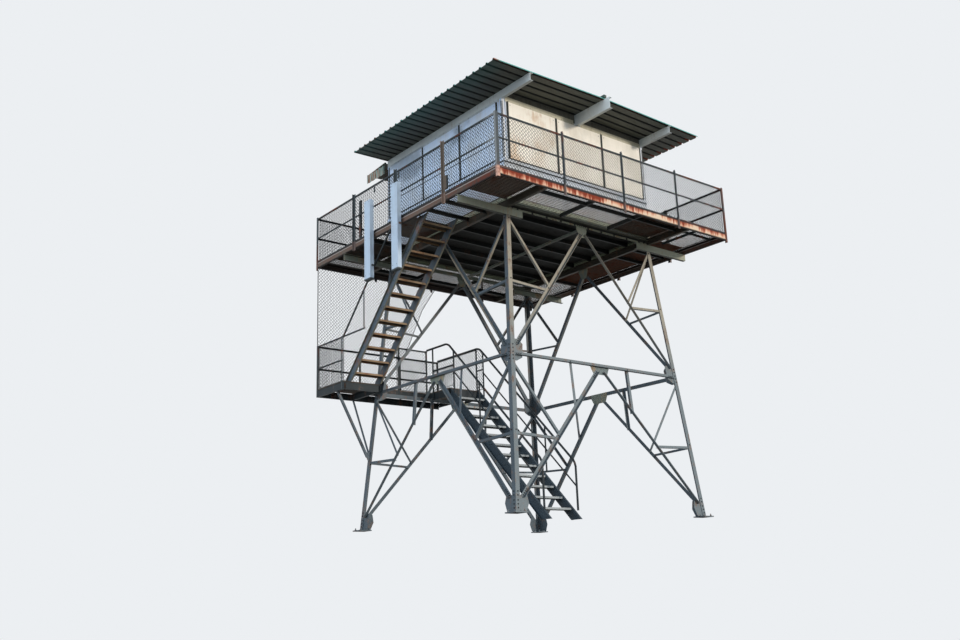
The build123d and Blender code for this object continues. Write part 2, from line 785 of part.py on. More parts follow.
def tread(x0, x1, y, z):
    """Pan tread: plate with a lip turned down along both edges."""
    h, t = TREAD_DEPTH / 2, TREAD_T
    pan = box(x0, x1, y - h, y + h, z - t, z)
    pan += box(x0, x1, y - h, y - h + t, z - TREAD_LIP, z)
    pan += box(x0, x1, y + h - t, y + h, z - TREAD_LIP, z)
    return pan


def upper_line():
    y1, z1 = STAIR_HEAD_Y, DECK_Z - FIRST_RISE - 20
    return (y1, z1, y1 + RUN * (UPPER_TREADS - 1), z1 - RISE * (UPPER_TREADS - 1))


def build_upper_stringers():
    z_max = FLOOR_BASE - JOIST_DEPTH
    left = build_stringer(-STAIR_LEFT, -1, upper_line(), 190, 40, 7, LANDING_Z, z_max)
    right = build_stringer(-STAIR_LEFT + STAIR_W, 1, upper_line(), 190, 40, 7, LANDING_Z, z_max)
    return [left, right]


def build_upper_treads():
    x0, x1 = -STAIR_LEFT, -STAIR_LEFT + STAIR_W
    y0, z0 = STAIR_HEAD_Y, DECK_Z - FIRST_RISE
    return [tread(x0, x1, y0 + RUN * k, z0 - RISE * k) for k in range(UPPER_TREADS)]


LOWER_RISE = LANDING_Z / (LOWER_TREADS + 1)
LOWER_RUN = (LOWER_HEAD_Y - LOWER_FOOT_Y) / (LOWER_TREADS + 1)


def build_lower_stringers():
    y1, z1 = LOWER_HEAD_Y - LOWER_RUN * 0.6, LANDING_Z - LOWER_RISE - 20
    steps = LOWER_TREADS - 1
    line = (y1, z1, y1 - LOWER_RUN * steps, z1 - LOWER_RISE * steps)
    z_max = LANDING_Z - 5
    left = build_stringer(LOWER_X0, -1, line, 200, LOWER_FLANGE, 7, 0.0, z_max)
    right = build_stringer(LOWER_X1, 1, line, 200, LOWER_FLANGE, 7, 0.0, z_max)
    limit = box(-DECK_HALF, DECK_HALF, -DECK_HALF, LOWER_HEAD_Y, -10, LANDING_Z)
    return [left & limit, right & limit]


def build_lower_treads():
    treads = []
    for k in range(LOWER_TREADS):
        y = LOWER_HEAD_Y - LOWER_RUN * (k + 0.6)
        treads.append(tread(LOWER_X0, LOWER_X1, y, LANDING_Z - LOWER_RISE * (k + 1)))
    return treads


def rounded(points, r):
    """A path whose inner corners are replaced by short chords."""
    path = [points[0]]
    for before, corner, after in zip(points, points[1:], points[2:]):
        c = Vector(*corner)
        back = (Vector(*before) - c).normalized()
        on = (Vector(*after) - c).normalized()
        for share_back, share_on in ((1.0, 0.0), (0.36, 0.36), (0.0, 1.0)):
            path.append(tuple(c + back * (r * share_back) + on * (r * share_on)))
    path.append(points[-1])
    return path


def tube(points, r):
    """Pipe along a path in one plane, mitred at its bends and with eight flats."""
    path = Polyline(*points)
    start = Vector(*points[0])
    plane = Plane(origin=points[0], x_dir=(1, 0, 0), z_dir=tuple(Vector(*points[1]) - start))
    ring = plane * RegularPolygon(r, 8, rotation=22.5)
    return sweep(ring, path=path, transition=Transition.RIGHT)


def rail_height(y):
    """Height of the lower stair's handrail above a point of its line."""
    top_y, top_z = LOWER_HEAD_Y - 20, LANDING_Z + PIPE_H
    return top_z if y > top_y else top_z - (top_y - y) * LOWER_RISE / LOWER_RUN


def build_lower_handrails():
    """Bent pipe rails on both sides of the lower stair, each with its posts."""
    rails = []
    top_y, low_y = LOWER_HEAD_Y - 20, LOWER_FOOT_Y + 110
    low = LANDING_Z - LANDING_DEPTH + 20
    left_x, right_x = LOWER_X0 - LOWER_FLANGE - 8 - PIPE_FLAT, LOWER_X1 + LOWER_FLANGE + PIPE_FLAT
    ends = {left_x: LANDING_FRONT - 10, right_x: LANDING_BACK - RAIL_W - 4}
    posts = {left_x: (LANDING_FRONT - 240, LOWER_HEAD_Y - 230), right_x: (LOWER_HEAD_Y + 95, LOWER_HEAD_Y - 155)}
    for x, end in ends.items():
        corners = [(x, end, rail_height(end)), (x, top_y, rail_height(end))]
        corners += [(x, low_y, rail_height(low_y)), (x, low_y, PIPE_R + 160)]
        rail = tube(rounded(corners, BEND_R), PIPE_R)
        for y in posts[x]:
            foot = LANDING_Z if x == right_x and y > LOWER_HEAD_Y else low
            rail += tube([(x, y, rail_height(y)), (x, y, foot)], PIPE_POST_R)
        for share in (0.365, 0.71):
            y = top_y + (low_y - top_y) * share
            rail += tube([(x, y, rail_height(y)), (x, y, rail_height(y) - PIPE_H + 40)], PIPE_POST_R)
        first, last = sorted(posts[x])
        rail += tube([(x, first, LANDING_Z + GUARD_MID_H), (x, last, LANDING_Z + GUARD_MID_H)], PIPE_R * 0.7)
        mid = [(x, first, rail_height(first) - GUARD_MID_H), (x, low_y, rail_height(low_y) - GUARD_MID_H)]
        rail += tube(mid, PIPE_R * 0.7)
        rails.append(rail)
    return rails


def build_landing_floor():
    z0, z1 = LANDING_Z - LANDING_FLOOR_T, LANDING_Z
    back = LANDING_BACK - CHANNEL_T - 2
    left, right = -DECK_HALF + CHANNEL_T + 2, LANDING_RIGHT - CHANNEL_T - 2
    return [
        box(LANDING_STEP, right, LANDING_FRONT + 8, back, z0, z1),
        box(left, LANDING_STEP - 1, FOOT_FRONT + 8, back, z0, z1),
        box(LOWER_X0 - 50, right, LOWER_HEAD_Y + 10, LANDING_FRONT - 2, z0, z1),
    ]


def build_landing_channels():
    d, z = DECK_HALF, LANDING_Z - LANDING_DEPTH
    right, back, front = LANDING_RIGHT, LANDING_BACK, LANDING_FRONT
    depth = LANDING_DEPTH - LANDING_FLOOR_T
    strut_top = RING_Z + BRACE_W / 2 / SLANT + 0.2
    over = LANDING_Z - LANDING_FLOOR_T - strut_top
    inside = RING_HALF - 120
    head = LOWER_HEAD_Y + 8
    left = LOWER_X0 - LOWER_FLANGE - 8
    bars = [
        channel_x(-d + 49, right - 49, back, z, depth, 50, 7, -1),
        channel_x(LANDING_STEP, left, front, z, depth, 50, 7, 1),
        channel_x(-d + 49, LANDING_STEP - 49, FOOT_FRONT, z, depth, 50, 7, 1),
        channel_y(FOOT_FRONT, back - 50, LANDING_STEP, z, depth, 49, 7, -1),
        channel_y(FOOT_FRONT, back, -d, z, depth, 49, 7, 1),
        channel_y(head, back, right, strut_top, over, 49, 7, -1),
        channel_y(head, front, left, strut_top, over, 49, 7, 1),
        box(right - 7, right, head, inside, z - 20, strut_top),
        box(left, left + 7, head, inside, z - 20, strut_top),
        box(left, right, LOWER_HEAD_Y, head, z - 20, LANDING_Z - LANDING_FLOOR_T),
    ]
    return bars


def rail_frame_x(x0, x1, y, z, posts, toward, tops=(GUARD_H, GUARD_MID_H)):
    """Angle-iron guard along X with posts outside the rails."""
    frame = None
    edge, lip, w = y + toward * 6, y - toward * RAIL_T, GUARD_POST_W
    for x in posts:
        post = box(x, x + w, min(y, edge), max(y, edge), z - LANDING_DEPTH, z + tops[0] + 6)
        frame = post if frame is None else frame + post
    for top in tops:
        inner = y - toward * RAIL_W
        frame += box(x0, x1, min(y, lip), max(y, lip), z + top - RAIL_W, z + top)
        frame += box(x0, x1, min(y, inner), max(y, inner), z + top - RAIL_T, z + top)
    return frame


def build_guard_back():
    first, last = -DECK_HALF + 8, LANDING_RIGHT - 8
    end = last - GUARD_POST_W
    posts = [first, first + GUARD_PITCH, end - GUARD_PITCH, end]
    return rail_frame_x(first, last, LANDING_BACK, LANDING_Z, posts, 1)


def build_guard_front():
    """Guard over the landing's front edge, from beside the leg to the stair's handrail."""
    first, end = LANDING_STEP + GUARD_START, LOWER_X0 - LOWER_FLANGE - 12
    posts = [first, end - GUARD_POST_W - 10]
    return rail_frame_x(first, end, LANDING_FRONT, LANDING_Z, posts, -1)


def guard_bend_y():
    """Place along the left guard where its rail turns up beside the stair."""
    return FOOT_FRONT + 60


def build_guard_left():
    x, z = -DECK_HALF, LANDING_Z
    y_far, y_bend, y_near = LANDING_BACK - 40, guard_bend_y(), guard_bend_y() - 910
    low, top = z - LANDING_DEPTH, z + GUARD_H
    frame = box(x - 6, x, y_far - 10, y_far + 39, low, top + 6)
    frame += box(x - 6, x, y_bend, y_bend + GUARD_POST_W, low, top + 6)
    frame += box(x, x + RAIL_W, y_near, y_far, top - RAIL_T, top)
    frame += box(x, x + RAIL_T, y_near, y_far, top - RAIL_W, top)
    frame += box(x, x + RAIL_T, y_bend, y_far, z + GUARD_MID_H - RAIL_W, z + GUARD_MID_H)
    return frame


def build_stair_guard():
    """Raked rail beside the upper stair and the short upright under it."""
    x, z = -DECK_HALF, LANDING_Z + GUARD_H
    y_bend, y_near = guard_bend_y(), guard_bend_y() - 910
    top = DECK_Z - EDGE_DEPTH
    slope = RISE / RUN
    y_top = y_bend - (top - z) / slope
    points = [(y_bend, z + 6), (y_bend - 45, z + 6), (y_top - 45, top), (y_top, top)]
    plane = Plane(origin=(x, 0, 0), x_dir=(0, 1, 0), z_dir=(1, 0, 0))
    rail = extrude(plane * flat(points), amount=6)
    edge = [(y_bend, z + 6), (y_bend - 7, z + 6), (y_top - 7, top), (y_top, top)]
    rail += extrude(plane * flat(edge), amount=45)
    z_post = z + (y_bend - y_near - 45) * slope
    post = box(x - 6, x, y_near, y_near + 40, z - RAIL_W, z_post)
    return [rail, post]


def landing_strut(reach_out, lift, sign):
    """Strut and leg bracket in a YZ plane, drawn outward from a leg's face."""
    z_low = LANDING_Z - LANDING_DEPTH - lift
    half = face_half(z_low)
    start = (half + 45, z_low + 40)
    end = (reach_out, LANDING_Z - LANDING_DEPTH + 30)
    along = (0, end[0] - start[0], end[1] - start[1])
    points = [(-25, 0), (25, 0), (25, 6), (-19, 6), (-19, 50), (-25, 50)]
    plane = Plane(origin=(0, *start), x_dir=(0, -along[2], along[1]), z_dir=along)
    strut = extrude(plane * flat(points), amount=math.hypot(*along))
    strut &= box(-100, 100, 0, 2 * DECK_HALF, 0, LANDING_Z - LANDING_DEPTH)
    z0, z1 = z_low - 50, z_low + 150
    outline = [(face_half(z0), z0), (half + 60, z0 + 20), (half + 130, z1 - 20), (face_half(z1), z1)]
    plane = Plane(origin=(0, 0, 0), x_dir=(0, 1, 0), z_dir=(1, 0, 0))
    bracket = extrude(plane * flat(outline), amount=sign * 8)
    return [strut, bracket]


def build_landing_braces():
    """Struts from the back left leg out to the landing's two outer edges."""
    x = -face_half(LANDING_Z - LANDING_DEPTH - STRUT_LIFT) + 70
    solids = [Pos(x, 0, 0) * s for s in landing_strut(LANDING_BACK - 40, STRUT_LIFT, -1)]
    sideways = landing_strut(DECK_HALF - 40, STRUT_LIFT, -1)
    solids += [Pos(0, -x, 0) * (Rot(0, 0, 90) * s) for s in sideways]
    return solids


PANELS = ((900.0, -1080.0, 700.0), (-150.0, -1140.0, 740.0))


def build_panels():
    """Tall closed boxes hung outside the left railing."""
    x1, h = -DECK_HALF - PANEL_OFF, PANEL_W / 2
    return [box(x1 - PANEL_T, x1, y - h, y + h, DECK_Z + z0, DECK_Z + z1) for y, z0, z1 in PANELS]


def build_panel_brackets():
    """Arms and feet of the hung boxes, and two small flat boxes inside the left railing."""
    x1, h = -DECK_HALF - PANEL_OFF, PANEL_W / 2 + 5
    solids = []
    for y, z0, z1 in PANELS:
        solids.append(box(x1, -DECK_HALF, y - 25, y + 25, DECK_Z - 100, DECK_Z - 60))
        solids.append(box(x1 - PANEL_T - 5, x1 + 10, y - h, y + h, DECK_Z + z0 - 30, DECK_Z + z0))
    x, w, t = -DECK_HALF, INSIDE_BOX_W / 2, INSIDE_BOX_T
    y, z = TALL_BOX_Y, DECK_Z + TALL_BOX_RISE
    solids.append(box(x + RAIL_W, x + RAIL_W + t, y - w, y + w, z, z + TALL_BOX_H))
    y, z = SMALL_BOX_Y, DECK_Z + SMALL_BOX_RISE
    solids.append(box(x, x + t, y - w, y + w, z, z + SMALL_BOX_H))
    return solids


parts = {}


def keep(name, solids):
    """Store a node, moved into the shared frame."""
    parts[name] = Pos(FRAME_SHIFT_X, 0, 0) * Compound(children=list(solids))


keep("tower_legs", build_legs())
keep("base_plates", build_base_plates())
keep("main_braces", build_upper_braces() + build_lower_braces())
keep("ring_struts", build_ring_struts())
keep("middle_gussets", build_top_gussets() + build_ring_mid_gussets())
keep("leg_gussets", build_ring_gussets() + build_foot_gussets())
keep("redundant_braces", build_upper_redundants() + build_lower_redundants())
keep("ring_hangers", build_ring_hangers())
keep("outriggers", build_outriggers())
keep("main_beams", build_main_beams())
keep("edge_channels", build_edge_channels())
keep("top_struts", build_top_struts() + build_plan_strut())
keep("deck_joists", build_walkway_joists() + build_floor_joists())
keep("floor_rim", build_floor_rim())
keep("cab_floor", build_cab_floor())
keep("walkway_gratings", build_gratings())
keep("railing_front", build_railing(0))
keep("railing_right", build_railing(90))
keep("railing_back", build_railing(180))
keep("railing_left", build_railing(270))
keep("corner_posts", build_corner_posts())
keep("sill_walls", build_sill_walls())
keep("sill_ledges", build_sill_ledges())
keep("mullions", build_mullions())
keep("head_walls", build_head_walls())
keep("shutters", build_shutters(0) + build_shutters(90) + build_shutters(180) + build_shutters(270))
keep("door_leaf", build_door())
keep("roof_beams", build_roof_beams())
keep("eave_closures", build_eave_closures())
keep("roof_sheets", build_roof_sheets())
keep("ridge_cap", build_ridge_cap())
keep("door_hood", build_hood())
keep("upper_stair_stringers", build_upper_stringers())
keep("upper_stair_treads", build_upper_treads())
keep("lower_stair_stringers", build_lower_stringers())
keep("lower_stair_treads", build_lower_treads())
keep("lower_stair_handrails", build_lower_handrails())
keep("landing_floor", build_landing_floor())
keep("landing_channels", build_landing_channels())
keep("landing_guards", [build_guard_back(), build_guard_left(), build_guard_front()])
keep("stair_guard_rail", build_stair_guard())
keep("landing_braces", build_landing_braces())
keep("panel_boxes", build_panels())
keep("panel_brackets", build_panel_brackets())

for name, shape in parts.items():
    export_step(shape, f"parts/{name}.step")
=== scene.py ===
"""Fire lookout tower: finishes, open gratings, chain link, trim, bolts and studio around the frame."""

import json
import logging
import math
from dataclasses import dataclass
from enum import Enum
from typing import Optional, Sequence, Union

import bpy
import numpy as np
from mathutils import Matrix, Vector


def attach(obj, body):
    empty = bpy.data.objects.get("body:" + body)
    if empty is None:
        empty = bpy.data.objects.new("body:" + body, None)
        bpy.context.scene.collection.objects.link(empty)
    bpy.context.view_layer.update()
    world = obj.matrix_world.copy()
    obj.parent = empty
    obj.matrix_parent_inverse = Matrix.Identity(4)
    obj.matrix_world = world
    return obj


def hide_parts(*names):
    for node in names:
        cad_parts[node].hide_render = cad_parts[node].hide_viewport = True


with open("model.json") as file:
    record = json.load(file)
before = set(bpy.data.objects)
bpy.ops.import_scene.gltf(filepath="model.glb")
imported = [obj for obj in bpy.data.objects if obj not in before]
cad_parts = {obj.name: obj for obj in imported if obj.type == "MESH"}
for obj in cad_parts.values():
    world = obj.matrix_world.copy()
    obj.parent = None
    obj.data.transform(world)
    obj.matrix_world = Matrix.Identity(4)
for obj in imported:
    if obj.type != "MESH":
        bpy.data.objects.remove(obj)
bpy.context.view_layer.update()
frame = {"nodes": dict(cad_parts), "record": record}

LOG = logging.getLogger("lookout_tower")

Colour = tuple[float, float, float]
Point = Sequence[float]
Pair = tuple[float, float]
Value = Union["Sock", float]
Tint = Union["Sock", Colour]

SHIFT_X = 0.051  # the deck's centre lies this far to +X of the frame's origin
DECK_Z = 6.25  # top of the deck's channels
DECK_HALF = 3.353
CAB_HALF = 2.134
LANDING_Z = 3.19
RING_Z = 3.021
BATTER = 0.0857  # how far a leg leans in for each metre of height
LEG_BASE_HALF = 2.096 + BATTER * DECK_Z
SLANT = math.sqrt(1.0 + BATTER * BATTER)  # length up the batter for each metre of height
RIB_FIRST = -3.021  # the roofing's first rib, from the cab's middle
RIB_PITCH = 0.214

MATT = 0.18  # specular level of every coat: old paint and zinc hardly shine
TOWARD = (0.4, 0.8)  # parts of a normal between which a face comes to look toward a side
DOWNWARD = (0.4, 0.7)  # the same for a face that looks down
EVEN = (1.0, 1.0, 1.0)  # stretch of a noise that is alike in all directions
OFF_AXIS = (0.31, 0.17, 0.93)  # no bolt or round bar points this way


def paint(red: int, green: int, blue: int) -> Colour:
    """Linear colour of a display colour given in 0 to 255."""
    shares = (level / 255 for level in (red, green, blue))
    return tuple(s / 12.92 if s <= 0.04045 else ((s + 0.055) / 1.055) ** 2.4 for s in shares)


def darker(colour: Colour, share: float) -> Colour:
    """A colour with its light cut to a share."""
    return tuple(c * share for c in colour)


def placed(name: str, data: bpy.types.ID) -> bpy.types.Object:
    """Make an object and link it to the scene.

    Args:
        name: The object's name.
        data: Its mesh, lamp or camera.

    Returns:
        The linked object.
    """
    thing = bpy.data.objects.new(name, data)
    bpy.context.scene.collection.objects.link(thing)
    return thing


class Slot(Enum):
    """The record's material slots."""

    GALVANISED = "galvanised"
    DECK_STEEL = "deck_steel"
    GREEN_STEEL = "green_steel"
    DARK_STEEL = "dark_steel"
    GRATING = "grating"
    WALL_PANEL = "wall_panel"
    SHUTTER_PANEL = "shutter_panel"
    DARK_TRIM = "dark_trim"
    ROOF_SHEET = "roof_sheet"
    ROOF_BEAM = "roof_beam"
    STAIR_STEEL = "stair_steel"
    TREAD_STEEL = "tread_steel"
    WHITE_PANEL = "white_panel"
    FLOOR_BOARD = "floor_board"


class Side(Enum):
    """Sides of the tower, as quarter turns from the sunlit front."""

    FRONT = 0
    RIGHT = 1
    BACK = 2
    LEFT = 3


class Sock:
    """A shader socket that adds Math nodes when it is used in arithmetic."""

    def __init__(self, board: "NodeBoard", socket: Optional[bpy.types.NodeSocket]) -> None:
        """Keep the socket and the board that it belongs to."""
        self.board = board
        self.socket = socket

    def _math(self, operation: str, *values: Value, clamp: bool = False) -> "Sock":
        """Add one Math node; clamp holds its result in 0 to 1."""
        settings = {"operation": operation, "use_clamp": clamp}
        return self.board.node("ShaderNodeMath", settings, dict(enumerate(values)))

    def __add__(self, other: Value) -> "Sock":
        """Sum."""
        return self._math("ADD", self, other)

    def __radd__(self, other: float) -> "Sock":
        """Sum, reflected."""
        return self._math("ADD", other, self)

    def __sub__(self, other: Value) -> "Sock":
        """Difference."""
        return self._math("SUBTRACT", self, other)

    def __rsub__(self, other: float) -> "Sock":
        """Difference, reflected."""
        return self._math("SUBTRACT", other, self)

    def __neg__(self) -> "Sock":
        """The value with its sign changed."""
        return self._math("SUBTRACT", 0.0, self)

    def __mul__(self, other: Value) -> "Sock":
        """Product."""
        return self._math("MULTIPLY", self, other)

    def __rmul__(self, other: float) -> "Sock":
        """Product, reflected."""
        return self._math("MULTIPLY", other, self)

    def __truediv__(self, other: Value) -> "Sock":
        """Quotient."""
        return self._math("DIVIDE", self, other)

    def __rtruediv__(self, other: float) -> "Sock":
        """Quotient, reflected."""
        return self._math("DIVIDE", other, self)

    def held(self) -> "Sock":
        """The value held in 0 to 1."""
        return self._math("ADD", self, 0.0, clamp=True)

    def size(self) -> "Sock":
        """The value without its sign."""
        return self._math("ABSOLUTE", self)

    def fraction(self) -> "Sock":
        """What is left above the whole number."""
        return self._math("FRACT", self)

    def most(self, other: "Sock") -> "Sock":
        """The greater of two values."""
        return self._math("MAXIMUM", self, other)

    def step(self, low: float, high: float) -> "Sock":
        """Smooth rise from 0 at low to 1 at high."""
        ends = {"Value": self, "From Min": low, "From Max": high}
        return self.board.node("ShaderNodeMapRange", {"interpolation_type": "SMOOTHSTEP"}, ends)

    def band(self, low: float, high: float, soft: float) -> "Sock":
        """One between low and high, with soft ends."""
        return self.step(low - soft, low + soft) * (1.0 - self.step(high - soft, high + soft))


class NodeBoard:
    """A node tree and the one method that adds its nodes."""

    def __init__(self, tree: bpy.types.NodeTree) -> None:
        """Start from an empty tree."""
        self.tree = tree
        self.tree.nodes.clear()

    def node(self, kind: str, settings: dict, sockets: dict, out: Union[int, str] = 0) -> Sock:
        """Add a node of any type.

        Args:
            kind: The node's Blender type.
            settings: Its properties, set first.
            sockets: Values or links by input name or index.
            out: Which output is wanted.

        Returns:
            The chosen output, or an empty one where the node has none.
        """
        node = self.tree.nodes.new(kind)
        for key, value in settings.items():
            setattr(node, key, value)
        for key, value in sockets.items():
            self.plug(node.inputs[key], value)
        return Sock(self, node.outputs[out] if node.outputs else None)

    def plug(self, socket: bpy.types.NodeSocket, value: Union[Value, Tint]) -> None:
        """Link or set one input.

        Args:
            socket: The input.
            value: A link, a number or a colour.
        """
        if isinstance(value, Sock):
            self.tree.links.new(value.socket, socket)
        elif isinstance(value, tuple) and socket.type == "RGBA":
            socket.default_value = (*value, 1.0)
        else:
            socket.default_value = value

    def seen(self) -> Sock:
        """Tell the rays that show a thing from those that light the object by it.

        Returns:
            One for rays of the camera and for what gloss and glass show, zero for the rest.
        """
        camera = self.node("ShaderNodeLightPath", {}, {}, "Is Camera Ray")
        outputs = camera.socket.node.outputs
        gloss, glass = Sock(self, outputs["Is Glossy Ray"]), Sock(self, outputs["Is Transmission Ray"])
        return camera.most(gloss).most(glass)


class Recipe(NodeBoard):
    """One material and the nodes that make it."""

    def __init__(self, name: str) -> None:
        """Start a node material with nothing in it but its shader and the object's coordinates.

        Args:
            name: The material's name.
        """
        self.material = bpy.data.materials.new(name)
        self.material.use_nodes = True
        super().__init__(self.material.node_tree)
        self.shader = self.node("ShaderNodeBsdfPrincipled", {}, {})
        self.place = self.node("ShaderNodeTexCoord", {}, {}, "Object")
        self.feed("Specular IOR Level", MATT)

    def feed(self, name: str, value: Union[Value, Tint]) -> None:
        """Set or link one of the shader's own sockets."""
        self.plug(self.shader.socket.node.inputs[name], value)

    def finish(self) -> bpy.types.Material:
        """Join the shader to the material's output."""
        self.node("ShaderNodeOutputMaterial", {}, {"Surface": self.shader})
        return self.material

    def parts_of(self, vector: Sock) -> tuple[Sock, Sock, Sock]:
        """The three components of a vector."""
        outputs = self.node("ShaderNodeSeparateXYZ", {}, {0: vector}).socket.node.outputs
        return Sock(self, outputs[0]), Sock(self, outputs[1]), Sock(self, outputs[2])

    def centred(self) -> tuple[Sock, Sock, Sock]:
        """Metres from the deck's centre, and height."""
        x, y, z = self.parts_of(self.place)
        return x - SHIFT_X, y, z

    def facing(self) -> tuple[Sock, Sock, Sock]:
        """Components of the surface's own normal."""
        return self.parts_of(self.node("ShaderNodeNewGeometry", {}, {}, "True Normal"))

    def noise(self, stretch: Point, scale: float, detail: float, rough: float) -> Sock:
        """Fractal noise of about 0 to 1.

        Args:
            stretch: Factors on the three coordinates.
            scale: Its cells per metre.
            detail: Its octaves.
            rough: How strong the fine octaves are.

        Returns:
            The noise's value.
        """
        stretched = {0: self.place, 1: tuple(stretch)}
        vector = self.node("ShaderNodeVectorMath", {"operation": "MULTIPLY"}, stretched)
        sockets = {"Vector": vector, "Scale": scale, "Detail": detail, "Roughness": rough}
        return self.node("ShaderNodeTexNoise", {}, sockets)

    def patches(self, scale: float) -> Sock:
        """Blotches of about even size in all directions."""
        return self.noise(EVEN, scale, 7.0, 0.62)

    def runs(self) -> Sock:
        """Long upright runs."""
        return self.noise((9.0, 9.0, 0.9), 2.2, 5.0, 0.6)

    def fine(self, scale: float = 80.0) -> Sock:
        """Grain of about a centimetre and less."""
        return self.noise(EVEN, scale, 4.0, 0.6)

    def mix(self, share: Value, first: Tint, second: Tint) -> Sock:
        """Blend of two colours."""
        settings = {"data_type": "RGBA", "blend_type": "MIX"}
        return self.node("ShaderNodeMix", settings, {0: share, 6: first, 7: second}, 2)

    def bump(self, height: Sock, strength: float, distance: float) -> None:
        """Raise the surface by a height map."""
        sockets = {"Strength": strength, "Distance": distance, "Height": height}
        self.feed("Normal", self.node("ShaderNodeBump", {}, sockets))


@dataclass(frozen=True)
class Finish:
    """A named coat. Each kind of finish lays its own nodes.

    Attributes:
        name: The material's name.
    """

    name: str

    def material(self) -> bpy.types.Material:
        """Make the material.

        Returns:
            A node material with this finish in it.
        """
        nodes = Recipe(self.name)
        self.lay(nodes)
        return nodes.finish()

    def lay(self, nodes: Recipe) -> None:
        """Lay the coat's nodes; every kind of finish says how."""
        raise NotImplementedError(type(self).__name__)


@dataclass(frozen=True)
class WornSteel(Finish):
    """Zinc or paint over steel, with rust in patches and in runs down upright faces.

    Attributes:
        coat: Main colour of the coat.
        shade: Second tone of the coat.
        rust: Colour of the thick rust.
        stain: Colour of the thin rust at its edges.
        cover: How much of the surface rust has taken, 0 to 1.
        streak: How far the rust follows upright runs, 0 to 1.
        roughness: Roughness of the sound coat.
        metallic: Metallic share of the sound coat.
        scale: Patches per metre.
        under: Painted shade: colour of faces that look down.
        across: Colour of faces that don't look along X.
        front: Painted sunlight: colour of the front faces, as if lit by the sun.
        front_low: The same painted sunlit colour near the ground, given wherever front is.
    """

    coat: Colour
    shade: Colour
    rust: Colour
    stain: Colour
    cover: float = 0.2
    streak: float = 0.35
    roughness: float = 0.55
    metallic: float = 0.0
    scale: float = 3.0
    under: Optional[Colour] = None
    across: Optional[Colour] = None
    front: Optional[Colour] = None
    front_low: Optional[Colour] = None

    def paint_sunlit_faces(self, nodes: Recipe, coat: Sock) -> Sock:
        """Paint a sunlit colour on the front faces, and more weakly on the front legs' flanges that lean
        toward the ground; members toward the back keep their darker coat as painted shade.

        Args:
            nodes: The material's recipe.
            coat: The coat before the painted sunlight.

        Returns:
            The coat after it.
        """
        _, y, z = nodes.centred()
        nx, ny, nz = nodes.facing()
        # painted sunlight on faces that look to the front, fading toward the back members, which keep the
        # darker coat as painted shade
        front = (-ny).step(*TOWARD) * (1.0 - y.step(-0.4, 0.8) * 0.8)
        # weaker painted sunlight on the front legs' flanges that look left and down
        leaning = (-nx).step(0.3, 0.6) * (-nz).step(0.2, 0.4) * (1.0 - y.step(-1.9, -1.7))
        sunlit_coat = nodes.mix(z.step(2.8, 4.6), self.front_low, self.front)
        return nodes.mix((front + leaning * 0.6).held(), coat, sunlit_coat)

    def lay(self, nodes: Recipe) -> None:
        """Lay the coat, its grime, thin rust and thick rust.

        Args:
            nodes: The material's recipe.
        """
        runs, fine = nodes.runs(), nodes.fine(90.0)
        blend = nodes.patches(self.scale) * (0.88 - self.streak) + runs * self.streak + fine * 0.12
        amount = blend - (0.66 - self.cover * 0.32)
        thin = (amount * 14.0 + 0.75).held()
        thick = (amount * 16.0 - 0.1).held()
        cloud = nodes.noise(EVEN, 1.3, 3.0, 0.5)
        coat = nodes.mix(cloud.step(0.35, 0.65), self.coat, self.shade)
        # painted sunlight on the front faces
        if self.front is not None:
            coat = self.paint_sunlit_faces(nodes, coat)
        nx, _, nz = nodes.facing()
        if self.across is not None:
            coat = nodes.mix(1.0 - nx.size().step(0.4, 0.7), coat, self.across)
        coat = nodes.mix((fine * 0.5 + runs * 0.35).held(), coat, darker(self.shade, 0.82))
        colour = nodes.mix(thin * 0.55, coat, self.stain)
        rusty = nodes.mix(fine, self.rust, darker(self.rust, 0.55))
        colour = nodes.mix(thick * 0.85, colour, rusty)
        # painted shade: faces that look down take the darker under colour
        if self.under is not None:
            colour = nodes.mix((-nz).step(*DOWNWARD) * 0.9, colour, self.under)
        nodes.feed("Base Color", colour)
        nodes.feed("Roughness", (thick * 0.3 + fine * 0.12 + (self.roughness - 0.05)).held())
        if self.metallic > 0:
            nodes.feed("Metallic", (1.0 - thick) * self.metallic)
        nodes.bump(thick * 0.6 + fine, 0.35, 0.002)


